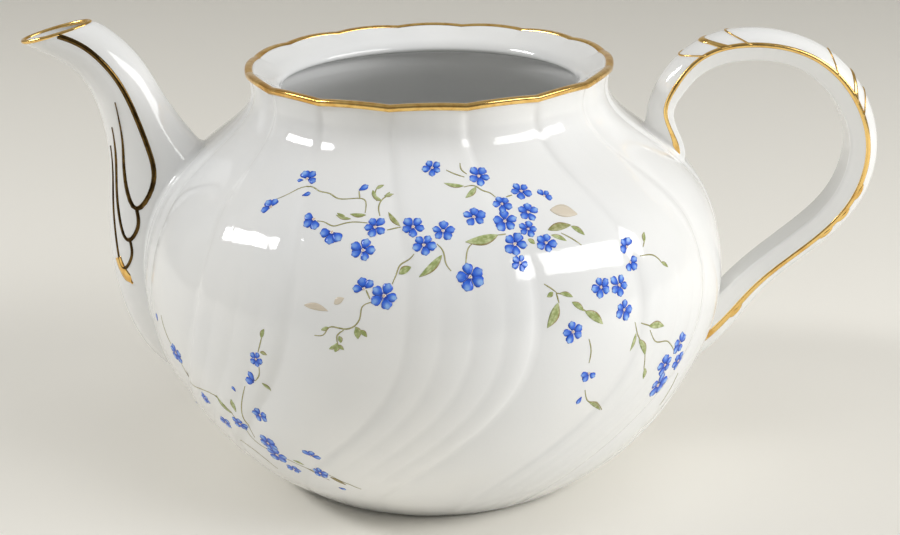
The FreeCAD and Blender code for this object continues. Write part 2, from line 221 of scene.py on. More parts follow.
@dataclass
class Surface:
    """Vertices in millimetres from the pot axis, their faces and their named values."""

    points: Array
    faces: list[Array]
    values: dict[str, Array]

    @staticmethod
    def grid(points: Array, wrap_rows: bool = False, wrap_columns: bool = False) -> "Surface":
        """Return the surface of a grid of vertices.

        Args:
            points: vertices as rows, columns and coordinates.
            wrap_rows: whether the last row joins the first.
            wrap_columns: whether the last column joins the first.

        Returns:
            The surface, in quads.
        """
        rows, columns = points.shape[:2]
        row, column = np.meshgrid(
            np.arange(rows if wrap_rows else rows - 1),
            np.arange(columns if wrap_columns else columns - 1),
            indexing="ij",
        )
        here = row * columns
        below = (row + 1) % rows * columns
        beside = (column + 1) % columns
        quads = np.stack([here + column, here + beside, below + beside, below + column], axis=-1)
        return Surface(points.reshape(-1, 3), [quads.reshape(-1, 4)], {})

    @staticmethod
    def ring(points: Array) -> "Surface":
        """Return the closed surface of a grid whose rows and columns both join up."""
        return Surface.grid(points, wrap_rows=True, wrap_columns=True).outward()

    @staticmethod
    def tube(points: Array, poles: Sequence[Sequence[float]]) -> "Surface":
        """Return the closed surface of a grid whose columns join up.

        Args:
            points: vertices as rows, columns and coordinates.
            poles: the middles of the fans that close the first row and the last.

        Returns:
            The surface, in quads and triangles.
        """
        made = Surface.grid(points, wrap_columns=True)
        count = len(made.points)
        columns = points.shape[1]
        end = count - columns
        column = np.arange(columns)
        beside = (column + 1) % columns
        made.faces.append(np.stack([np.full(columns, count), beside, column], axis=-1))
        made.faces.append(np.stack([np.full(columns, count + 1), end + column, end + beside], axis=-1))
        made.points = np.concatenate([made.points, poles])
        return made.outward()

    @staticmethod
    def films(top: Array, base: Array, **values: Array) -> "Surface":
        """Return thin closed films: each has a top sheet and a base sheet, joined round their edge.

        Args:
            top: outer vertices as films, rows, columns and coordinates.
            base: inner vertices, likewise.
            values: named numbers that spread over films, rows and columns.

        Returns:
            The films, each one loop of columns with its two open ends capped by quads.
        """
        count, rows, half = top.shape[:3]
        columns = 2 * half
        loops = np.concatenate([top, base[:, :, ::-1]], axis=2)
        sides = Surface.grid(loops[0], wrap_columns=True).faces[0]
        left = np.arange(half - 1)
        start = np.stack([left + 1, left, columns - 1 - left, columns - 2 - left], axis=-1)
        faces = np.concatenate([sides, start, start[:, ::-1] + (rows - 1) * columns])
        every = faces[None] + (np.arange(count) * rows * columns)[:, None, None]
        flat = {}
        for name, value in values.items():
            spread = np.broadcast_to(value, (count, rows, half))
            flat[name] = np.concatenate([spread, spread[..., ::-1]], axis=2).ravel()
        return Surface(loops.reshape(-1, 3), [every.reshape(-1, 4)], flat).outward()

    @staticmethod
    def joined(parts: Iterable["Surface"]) -> "Surface":
        """Return several surfaces as one.

        Args:
            parts: surfaces that carry the same named values.

        Returns:
            The joined surface.
        """
        parts = list(parts)
        starts = np.cumsum([0] + [len(part.points) for part in parts[:-1]])
        faces = [face + start for part, start in zip(parts, starts) for face in part.faces]
        names = parts[0].values
        values = {name: np.concatenate([part.values[name] for part in parts]) for name in names}
        return Surface(np.concatenate([part.points for part in parts]), faces, values)

    def outward(self) -> "Surface":
        """Turn the faces of a closed surface outwards, by the sign of the volume that it holds.

        Returns:
            The same surface.
        """
        volume = 0.0
        for face in self.faces:
            corners = self.points[face]
            for second in range(1, face.shape[1] - 1):
                cross = np.cross(corners[:, second], corners[:, second + 1])
                volume += float(np.sum(corners[:, 0] * cross))
        if volume < 0.0:
            self.faces = [face[:, ::-1] for face in self.faces]
        return self

    def turned(self, degrees: float) -> "Surface":
        """Return the surface turned about the pot axis."""
        turn = np.array(Matrix.Rotation(math.radians(degrees), 3, "Z"))
        return Surface(self.points @ turn.T, self.faces, self.values)

    def mesh(self, name: str) -> bpy.types.Mesh:
        """Make a smooth mesh in metres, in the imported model's frame.

        Args:
            name: the mesh's name.

        Returns:
            The mesh, with the named values as attributes of its vertices.
        """
        made = bpy.data.meshes.new(name)
        places = (self.points + pot_axis()) * MM
        corners = np.concatenate([face.ravel() for face in self.faces])
        counts = np.concatenate([np.full(len(face), face.shape[1]) for face in self.faces])
        starts = np.concatenate([[0], np.cumsum(counts)[:-1]])
        made.vertices.add(len(places))
        made.vertices.foreach_set("co", places.astype(np.float32).ravel())
        made.loops.add(len(corners))
        made.loops.foreach_set("vertex_index", corners.astype(np.int32))
        made.polygons.add(len(starts))
        made.polygons.foreach_set("loop_start", starts.astype(np.int32))
        for value_name, value in self.values.items():
            layer = made.attributes.new(value_name, "FLOAT", "POINT")
            layer.data.foreach_set("value", value.astype(np.float32))
        made.update(calc_edges=True)
        made.shade_smooth()
        return made


def add_piece(
    name: str, shape: Surface | bpy.types.Mesh, material: Material, slot: Slot, *nodes: str
) -> None:
    """Add one piece of the teapot to the scene.

    Args:
        name: the piece's name.
        shape: its surface, or its finished mesh.
        material: its finish.
        slot: the record's material slot; not used.
        nodes: the solids that it stands for.
    """
    mesh = shape.mesh(name) if isinstance(shape, Surface) else shape
    piece = link(name, mesh)
    mesh.materials.append(material)
    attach(piece, BODY)
    if nodes:
        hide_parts(*nodes)
    log.info("%s: %d vertices, %d faces", name, len(mesh.vertices), len(mesh.polygons))


@dataclass(frozen=True)
class PotForm:
    """Outer form of the body: a turned outline cut into reeded and plain panels that swirl."""

    outline: Outline = (
        (45.4, 0.0), (57.0, 9.0), (72.6, 29.6), (80.4, 54.8),
        (72.3, 83.0), (59.3, 94.6), (48.5, 108.0), (49.8, 114.6),
    )
    panel_pairs: int = 8
    reeds: int = 4
    groove_depth: float = 0.9
    reed_depth: float = 0.5
    reed_full_height: float = 44.0
    reed_faint_height: float = 98.0
    reed_full_share: float = 0.85
    reed_top_share: float = 0.2
    groove_foot_share: float = 0.25
    groove_rim_share: float = 0.4
    groove_full_height: float = 29.6
    collar_height: float = 94.6
    neck_height: float = 108.0
    rim_height: float = 114.6
    rim_radius: float = 49.8
    swirl_belly: float = 7.6
    swirl_belly_height: float = 76.0
    swirl_foot: float = -29.0
    swirl_power: float = 1.5
    lip_gilding_height: float = 1.5
    scallop_rise: float = 0.5
    outline_samples: int = 800
    slope_step: float = 0.2

    @cached_property
    def samples(self) -> Array:
        """Return the outline as rows of radius, height and length along it from the foot."""
        points = Spline(self.outline).even(self.outline_samples)
        return np.column_stack([points, chord_sums(points)])

    @property
    def land_low(self) -> float:
        """Return the lowest height of the rim land."""
        return self.rim_height - self.lip_gilding_height - self.scallop_rise

    def radius(self, height: Array) -> Array:
        """Return the radius of the turned outline at heights."""
        return np.interp(height, self.samples[:, 1], self.samples[:, 0])

    def run(self, height: Array) -> Array:
        """Return the length along the outline from the foot to heights."""
        return np.interp(height, self.samples[:, 1], self.samples[:, 2])

    def height(self, run: Array) -> Array:
        """Return the heights at lengths along the outline."""
        return np.interp(run, self.samples[:, 2], self.samples[:, 1])

    def swirl(self, height: Array) -> Array:
        """Return how far the panels have turned: an eased S from the neck over the belly to the foot.

        Args:
            height: heights.

        Returns:
            The turns, in radians.
        """
        crest = self.swirl_belly_height
        above = self.swirl_belly * (1.0 - eased((height - crest) / (self.neck_height - crest)))
        share = (np.clip(crest - height, 0.0, crest) / crest) ** self.swirl_power
        below = self.swirl_belly + (self.swirl_foot - self.swirl_belly) * eased(share)
        return np.radians(np.where(height >= crest, above, below))

    def groove_share(self, height: Array) -> Array:
        """Return how deep the grooves are: full on the belly, shallow at the foot and the rim.

        Args:
            height: heights.

        Returns:
            The shares of the full depth.
        """
        rise = np.clip(height / self.groove_full_height, 0.0, 1.0)
        fall = np.clip((self.rim_height - height) / (self.rim_height - self.collar_height), 0.0, 1.0)
        at_rim = self.groove_rim_share + (1.0 - self.groove_rim_share) * fall
        return self.groove_foot_share + (1.0 - self.groove_foot_share) * rise * at_rim

    def reed_share(self, height: Array) -> Array:
        """Return how far the reeds stand out of their panel: most below the belly, faint at the shoulder."""
        faint = (height - self.reed_full_height) / (self.reed_faint_height - self.reed_full_height)
        return self.reed_full_share + (self.reed_top_share - self.reed_full_share) * eased(faint)

    def relief(self, angle: Array, height: Array) -> Array:
        """Return how far the surface lies inside the turned outline.

        Across each reed or plain panel, with u from -1 to 1, the depth is crest + (edge - crest) u^2, times
        the groove's share at that height.

        Args:
            angle: angles from +X in radians.
            height: heights.

        Returns:
            The depths.
        """
        panel = math.pi / self.panel_pairs
        place = np.mod(angle - self.swirl(height) + 0.5 * panel, 2.0 * panel) / panel
        reed = np.clip(np.floor(place * self.reeds), 0, self.reeds - 1)
        across = 2.0 * (place * self.reeds - reed) - 1.0
        outer = ((reed == 0) & (across < 0.0)) | ((reed == self.reeds - 1) & (across > 0.0))
        crest = 0.5 * self.reed_depth
        edge = np.where(outer, self.groove_depth, crest + crest * self.reed_share(height))
        reeded = crest + (edge - crest) * across**2
        plain = self.groove_depth * (2.0 * (place - 1.0) - 1.0) ** 2
        return np.where(place < 1.0, reeded, plain) * self.groove_share(height)

    def at(self, angle: Array, height: Array, lift: Array | float = 0.0) -> Array:
        """Return points of the body's outer surface.

        Args:
            angle: angles from +X in radians.
            height: heights.
            lift: distance off the surface, along the outline's outward normal.

        Returns:
            The points, with their coordinates on a new last axis.
        """
        angle, height = np.broadcast_arrays(angle, height)
        step = self.slope_step
        slope = (self.radius(height + step) - self.radius(height - step)) / (2.0 * step)
        level = 1.0 / np.sqrt(1.0 + slope**2)
        radius = self.radius(height) - self.relief(angle, height) + lift * level
        return polar(radius, angle, height - lift * slope * level)

    def outside(self, points: Array) -> Array:
        """Return how far points lie outside the body's outer surface.

        Args:
            points: points, with their coordinates on the last axis.

        Returns:
            The distances, measured level from the axis.
        """
        angle = np.arctan2(points[..., 1], points[..., 0])
        distance = np.hypot(points[..., 0], points[..., 1])
        return distance - self.radius(points[..., 2]) + self.relief(angle, points[..., 2])

    def onto(self, points: Array, lift: float = 0.0) -> Array:
        """Return points moved level onto the body's outer surface, and then off it by the lift."""
        return self.at(np.arctan2(points[..., 1], points[..., 0]), points[..., 2], lift)

    def land(self, angle: Array) -> Array:
        """Return the height of the rim land under the gilding: one arch for each panel."""
        place = np.mod(angle / (math.pi / self.panel_pairs) + 0.5, 1.0) - 0.5
        return self.land_low + self.scallop_rise * (1.0 - 4.0 * place**2)


@dataclass(frozen=True)
class PhotoCamera:
    """The photograph's view: where the camera stands from the pot axis, and its frame in pixels."""

    distance: float = 500.0
    elevation: float = 19.42
    aim_side: float = 4.64
    aim_height: float = 54.64
    focal: float = 1773.5
    roll: float = -1.05
    width: float = 900.0
    height: float = 535.0
    sensor: float = 36.0
    clip_start: float = 0.01
    walk: Range = (0.6, 1.2)
    walk_steps: int = 1200
    halvings: int = 20

    @cached_property
    def axes(self) -> Array:
        """Return the camera's directions, before its roll.

        Returns:
            Rows for right, up and forward.
        """
        tilt = math.radians(self.elevation)
        forward = np.array([0.0, math.cos(tilt), -math.sin(tilt)])
        right = np.array([1.0, 0.0, 0.0])
        return np.stack([right, np.cross(right, forward), forward])

    @cached_property
    def eye(self) -> Array:
        """Return where the camera stands."""
        return np.array([self.aim_side, 0.0, self.aim_height]) - self.distance * self.axes[2]

    def rays(self, pixels: Sequence[Pixel]) -> Array:
        """Return the directions in which the camera sees pixels.

        Args:
            pixels: places in the photograph.

        Returns:
            Directions of length 1, one row each.
        """
        roll = math.radians(self.roll)
        across = np.asarray(pixels, float) - 0.5 * np.array([self.width, self.height])
        right = (math.cos(roll) * across[:, 0] + math.sin(roll) * across[:, 1]) / self.focal
        down = (math.cos(roll) * across[:, 1] - math.sin(roll) * across[:, 0]) / self.focal
        return unit(self.axes[2] + right[:, None] * self.axes[0] - down[:, None] * self.axes[1])

    def on_pot(self, form: PotForm, pixels: Sequence[Pixel]) -> Array:
        """Return where pixels fall on the body.

        Each ray is walked in even steps to its first point inside the body, and that step is then halved.
        A ray that just misses keeps the step where it passes closest.

        Args:
            form: the body's outer form.
            pixels: places in the photograph.

        Returns:
            Rows of the angle from +X in radians, the height and the distance from the camera.
        """
        rays = self.rays(pixels)
        walk = np.linspace(*self.walk, self.walk_steps) * self.distance
        gaps = form.outside(self.eye + walk[None, :, None] * rays[:, None, :])
        inside = gaps < 0.0
        met = np.where(np.any(inside, axis=1), np.argmax(inside, axis=1), np.argmin(gaps, axis=1))
        first = np.maximum(met, 1)
        near = walk[first - 1]
        far = walk[first]
        for _ in range(self.halvings):
            middle = 0.5 * (near + far)
            inside = form.outside(self.eye + middle[:, None] * rays) < 0.0
            near = np.where(inside, near, middle)
            far = np.where(inside, middle, far)
        points = self.eye + far[:, None] * rays
        return np.column_stack([np.arctan2(points[:, 1], points[:, 0]), points[:, 2], far])

    def add(self) -> None:
        """Add the camera to the scene."""
        data = bpy.data.cameras.new("photo_camera")
        data.sensor_width = self.sensor
        data.lens = self.focal / self.width * self.sensor
        data.clip_start = self.clip_start
        camera = link("photo_camera", data)
        turn = Matrix((self.axes[0], self.axes[1], -self.axes[2])).transposed()
        turn = turn @ Matrix.Rotation(math.radians(self.roll), 3, "Z")
        camera.matrix_world = Matrix.Translation((self.eye + pot_axis()) * MM) @ turn.to_4x4()
        bpy.context.scene.camera = camera


@dataclass(frozen=True)
class PotBody:
    """The cast body: swirled outside, scalloped land, lid throat, inside, foot ring and strainer."""

    form: PotForm
    wall: float = 3.6
    floor: float = 6.6
    lip_width: float = 2.1
    lip_rise: float = 1.2
    land_shares: Range = (0.35, 0.7)
    scallop_fade: float = 43.0
    throat_low: float = 108.5
    outer_start: float = 0.3
    reed_columns: int = 8
    plain_columns: int = 20
    outer_rows: int = 114
    throat_rows: int = 36
    inner_rows: int = 52
    foot: Outline = (
        (3.0, 2.6), (15.0, 2.6), (28.0, 2.6), (37.4, 2.6), (38.6, 2.45), (39.4, 1.8),
        (40.0, 0.7), (40.7, 0.1), (41.6, 0.0), (43.8, 0.0), (44.7, 0.02), (45.2, 0.14),
    )
    throat: Outline = (
        (47.4, 113.6), (46.5, 113.15), (45.2, 112.6), (43.8, 112.05), (42.6, 111.5),
        (41.5, 110.8), (40.65, 109.9), (40.15, 109.0), (40.0, 108.5), (40.2, 108.05),
        (41.2, 107.6), (42.8, 107.0), (43.9, 106.0), (44.5, 104.6), (45.5, 102.4),
    )
    inside_heights: tuple[float, ...] = (
        99.0, 94.0, 88.0, 81.0, 73.0, 64.0, 55.0, 46.0, 37.0, 28.0, 20.0, 13.5,
    )
    inside_floor: Outline = ((49.0, 9.0), (45.0, 7.2), (40.0, 6.6), (24.0, 6.6), (3.0, 6.6))
    strainer_height: float = 62.0
    strainer_radius: float = 2.4
    strainer_pitch: float = 7.6
    strainer_ring: int = 6
    strainer_reach: Range = (-86.0, -66.0)
    strainer_sides: int = 24
    sharp_angle: float = 50.0

    def panel_angles(self) -> Array:
        """Return the columns' angles round the panels, closer on the reeds than on the plain panels.

        Returns:
            The angles before the swirl, in radians.
        """
        panel = math.pi / self.form.panel_pairs
        steps = self.form.reeds * self.reed_columns
        reeded = np.arange(steps) / steps - 0.5
        plain = np.arange(self.plain_columns) / self.plain_columns + 0.5
        pair = np.concatenate([reeded, plain]) * panel
        return (pair + 2.0 * panel * np.arange(self.form.panel_pairs)[:, None]).ravel()

    def inside(self) -> Array:
        """Return the inside's profile from the ledge by the wall to the floor.

        The wall is the outline moved in by its thickness, square to itself.

        Returns:
            Rows of radius and height.
        """
        heights = np.array(self.inside_heights)
        wall = self.form.at(np.zeros_like(heights), heights, -self.wall)[:, [0, 2]]
        profile = Spline(np.concatenate([self.throat, wall, self.inside_floor]))
        under = profile.knots[len(self.throat) - 1]
        throat_places = np.linspace(0.0, under, self.throat_rows)
        lower_places = np.linspace(under, profile.length, self.inner_rows)[1:]
        return profile.at(np.concatenate([throat_places, lower_places]))

    def surface(self) -> Surface:
        """Return the body before it is pierced: foot, outside, land and inside rows, between two poles.

        The rows' heights rise and fall with the scalloped land, less and less down the neck and the ledge.

        Returns:
            The closed surface.
        """
        form = self.form
        panel = self.panel_angles()
        low = form.land_low
        foot = np.array(self.foot)
        foot_rows = polar(foot[:, :1], panel + form.swirl(np.array(0.0)), foot[:, 1:])
        runs = np.linspace(form.run(self.outer_start), form.run(low), self.outer_rows)
        level = form.height(runs)[:, None]
        angle = panel + form.swirl(level)
        share = eased((level - form.neck_height) / (low - form.neck_height))
        outer_rows = form.at(angle, level + share * (form.land(angle) - low))
        edge = np.hypot(outer_rows[-1, :, 0], outer_rows[-1, :, 1])
        inner_edge = form.rim_radius - self.lip_width
        across = np.array(self.land_shares)[:, None]
        land = form.land(panel)
        land_rows = polar(edge + across * (inner_edge - edge), panel, land + across * self.lip_rise)
        radius, height = np.split(self.inside(), 2, axis=1)
        fade = eased((radius - self.scallop_fade) / (inner_edge - self.scallop_fade))
        inside_rows = polar(radius, panel, height + fade * (height > self.throat_low) * (land - low))
        rows = np.concatenate([foot_rows, outer_rows, land_rows, inside_rows])
        return Surface.tube(rows, [(0.0, 0.0, foot[0, 1]), (0.0, 0.0, self.floor)])

    def strainer(self) -> Surface:
        """Return the round pegs that pierce the strainer: one in the middle and a ring about it.

        Returns:
            The closed pegs, as one surface.
        """
        turn = circle(self.strainer_sides)
        ring = circle(self.strainer_ring)
        sides = np.concatenate([[0.0], self.strainer_pitch * np.cos(ring)])
        heights = self.strainer_height + np.concatenate([[0.0], self.strainer_pitch * np.sin(ring)])
        reach = np.array(self.strainer_reach)[:, None]
        pegs = []
        for side, height in zip(sides, heights):
            across = side + self.strainer_radius * np.cos(turn)
            rise = height + self.strainer_radius * np.sin(turn)
            points = np.stack(np.broadcast_arrays(reach, across, rise), axis=-1)
            pegs.append(Surface.tube(points, [(end, side, height) for end in self.strainer_reach]))
        return Surface.joined(pegs)

    def mesh(self, name: str) -> bpy.types.Mesh:
        """Make the body's mesh, with the strainer pierced by a boolean difference.

        Args:
            name: the mesh's name.

        Returns:
            The mesh.
        """
        blank = link("body_blank", self.surface().mesh("body_blank"))
        pegs = link("strainer_pegs", self.strainer().mesh("strainer_pegs"))
        cut = blank.modifiers.new("strainer", "BOOLEAN")
        cut.operation = "DIFFERENCE"
        cut.solver = "EXACT"
        cut.object = pegs
        view = bpy.context.evaluated_depsgraph_get()
        mesh = bpy.data.meshes.new_from_object(blank.evaluated_get(view))
        for made in (blank, pegs):
            data = made.data
            bpy.data.objects.remove(made)
            bpy.data.meshes.remove(data)
        mesh.name = name
        mesh.set_sharp_from_angle(angle=math.radians(self.sharp_angle))
        return mesh


def emerging(form: PotForm, path: Callable[[Array], Array], places: Array, sink: float) -> Array:
    """Return, for each column, the first place along a path at which it has left the body.

    Args:
        form: the body's outer form.
        path: gives the points of all columns at rows of places.
        places: places to try, from inside the body outwards.
        sink: how far inside the body's surface counts as having left it.

    Returns:
        One place for each column, found between two tried places by their gaps to the surface.
    """
    gaps = form.outside(path(places[:, None])) + sink
    first = np.maximum(np.argmax(gaps > 0.0, axis=0), 1)
    column = np.arange(gaps.shape[1])
    before = gaps[first - 1, column]
    share = np.clip(before / (before - gaps[first, column]), 0.0, 1.0)
    return places[first - 1] + share * (places[first] - places[first - 1])


@dataclass(frozen=True)
class Joint:
    """The slip fillet where a casting meets the body."""

    form: PotForm
    reach: float = 2.2
    steps: int = 9
    sunk: float = 0.05
    root: float = 0.7

    def fillet(self, path: Callable[[Array], Array], places: Array, step: float, way: float) -> Surface:
        """Return the fillet's closed ring.

        Its face is the curve (1-s)^2 A + 2s(1-s) C + s^2 B from the casting over the corner to the body.

        Args:
            path: gives the points of all the casting's columns at rows of places.
            places: the place on each column where it leaves the body.
            step: the step of places over which the casting's outward directions are taken.
            way: 1 if places grow away from the body, or -1 if they fall.

        Returns:
            The ring.
        """
        sheet = path(places + step * AROUND[:, None])
        meeting = sheet[1]
        outward = (raised(sheet, 1.0) - sheet)[1]
        share = np.linspace(0.0, 1.0, self.steps)[None, :, None]
        start = (path(places + way * self.reach) - outward * self.sunk)[:, None]
        end = self.form.onto(meeting + outward * self.reach, -self.sunk)[:, None]
        corner = meeting[:, None]
        face = (1.0 - share) ** 2 * start + 2.0 * share * (1.0 - share) * corner + share**2 * end
        root = self.form.onto(meeting - outward * self.root, -self.root)[:, None]
        return Surface.ring(np.concatenate([face, root], axis=1))


@dataclass(frozen=True)
class Spout:
    """The swan spout: ovals along a curve, hollow, with gilt tongues and a gilt lip.

    A section gives the reach and height of its middle, its tilt, its depth and its width. A ribbon is a gilt
    line on a flank.
    """

    form: PotForm
    sections: tuple[tuple[float, ...], ...] = (
        (57.0, 34.5, 54.0, 32.0, 20.0), (65.0, 45.5, 44.0, 41.7, 23.0), (70.2, 61.0, 31.0, 42.4, 26.0),
        (73.0, 75.0, 28.0, 38.5, 24.0), (76.5, 90.0, 18.5, 25.4, 20.0), (80.9, 102.4, 23.0, 18.3, 17.0),
        (85.5, 112.6, 34.0, 16.0, 15.5), (91.8, 119.6, 33.0, 15.3, 14.5), (100.0, 124.0, 14.5, 19.8, 14.0),
    )
    wall: float = 2.6
    lip_wall: float = 1.0
    lip_steps: int = 9
    lip_bead: float = 0.58
    bead_columns: int = 14
    channel_taper: float = 3.0
    columns: int = 112
    rows: int = 150
    sink: float = 1.2
    root_reach: float = 0.8
    root_tries: int = 500
    root_step: float = 0.5
    ribbon_rows: int = 72
    ribbon_columns: int = 7
    ribbon_crown: float = 0.3
    ribbon_root: float = 0.3
    ribbon_sag: float = 0.06
    ribbon_taper: float = 0.75
    taper_start: float = 0.7
    taper_run: float = 0.3
    flank_limit: float = 0.995
    probe: float = 0.2
    probe_turn: float = 0.02

    @cached_property
    def track(self) -> Spline:
        """Return the sections' values along the curve through their middles."""
        values = np.array(self.sections)
        return Spline(values, chord_sums(values[:, :2]))

    @cached_property
    def angles(self) -> Array:
        """Return the columns' angles round a section, from the pot side towards the back."""
        return circle(self.columns)

    def at(
        self, place: Array | float, angle: Array, inset: Array | float = 0.0, ahead: Array | float = 0.0
    ) -> Array:
        """Return points of the spout.

        A section is the oval cos(a) depth/2 across and sin(a) width/2 to the back, about its middle.

        Args:
            place: places along the curve.
            angle: angles round the section.
            inset: distance inside the outer wall.
            ahead: distance in front of the section's plane.

        Returns:
            The points, with their coordinates on a new last axis.
        """
        place, angle = np.broadcast_arrays(place, angle)
        reach, height, tilt, depth, width = np.moveaxis(self.track.at(place), -1, 0)
        tilt = np.radians(tilt)
        deep = np.cos(angle) * (0.5 * depth - inset)
        side = np.sin(angle) * (0.5 * width - inset)
        along_x = deep * np.cos(tilt) - ahead * np.sin(tilt) - reach
        return np.stack([along_x, side, height + deep * np.sin(tilt) + ahead * np.cos(tilt)], axis=-1)

    def roots(self, inset: float, sink: float) -> Array:
        """Return the place on each column where the spout leaves the body."""
        tried = np.linspace(0.0, self.root_reach * self.track.length, self.root_tries)
        return emerging(self.form, lambda place: self.at(place, self.angles, inset), tried, sink)

    def surface(self) -> Surface:
        """Return the hollow spout: outside rows up, a round lip, channel rows down, joined at the root.

        Returns:
            The closed surface.
        """
        share = np.linspace(0.0, 1.0, self.rows)[:, None]
        length = self.track.length
        start = self.roots(0.0, self.sink)
        outside = self.at(start + (length - start) * share, self.angles)
        turn = np.linspace(0.0, math.pi, self.lip_steps)[1:-1, None]
        half = 0.5 * self.lip_wall
        lip = self.at(length, self.angles, half * (1.0 - np.cos(turn)), half * np.sin(turn))
        inner_start = self.roots(self.wall, self.sink)
        inset = self.lip_wall + (self.wall - self.lip_wall) * eased(share * self.channel_taper)
        inside = self.at(length + (inner_start - length) * share, self.angles, inset)
        return Surface.ring(np.concatenate([outside, lip, inside]))

    def fillet(self, joint: Joint) -> Surface:
        """Return the slip fillet at the spout's root."""
        places = self.roots(0.0, 0.0)
        return joint.fillet(lambda place: self.at(place, self.angles), places, self.root_step, 1.0)

    def lip_ring(self) -> Surface:
        """Return the gilt bead on the lip: a round section carried along the middle of the lip's wall.

        Returns:
            The closed ring.
        """
        turn = circle(self.bead_columns)
        inset = 0.5 * self.lip_wall - self.lip_bead * np.sin(turn)
        return Surface.ring(
            self.at(self.track.length, self.angles[:, None], inset, self.lip_bead * np.cos(turn))
        )

    def ribbon(self, line: Outline, width: float, side: Side) -> Surface:
        """Return a gilt line on the spout's flank: a lens section that thins out at its far end.

        Args:
            line: places along the sections counted from the root, and across the depth from -1 to 1.
            width: the widest part of the line.
            side: the flank that it lies on.

        Returns:
            The closed ribbon.
        """
        path = Spline(line).even(self.ribbon_rows)
        place = np.interp(path[:, 0], np.arange(len(self.sections)), self.track.knots)[:, None]
        angle = side.value[1] * np.arccos(np.clip(path[:, 1:], -self.flank_limit, self.flank_limit))
        along = self.at(place + self.probe * AROUND, angle)
        around = self.at(place, angle + self.probe_turn * AROUND)
        middle = along[:, 1]
        normal = unit(np.cross(around[:, 2] - around[:, 0], along[:, 2] - along[:, 0]))
        ahead = unit(np.gradient(middle, axis=0))
        across = np.linspace(-1.0, 1.0, self.ribbon_columns)[None, :, None]
        run = np.linspace(0.0, 1.0, self.ribbon_rows)[:, None, None]
        half = 0.5 * width * (1.0 - self.ribbon_taper * eased((run - self.taper_start) / self.taper_run))
        spread = middle[:, None] + np.cross(normal, ahead)[:, None] * across * half
        lift = self.ribbon_crown * (1.0 - across**2) - self.ribbon_sag * across**2
        top = spread + normal[:, None] * lift
        base = spread - normal[:, None] * self.ribbon_root
        return Surface.films(top[None], base[None])


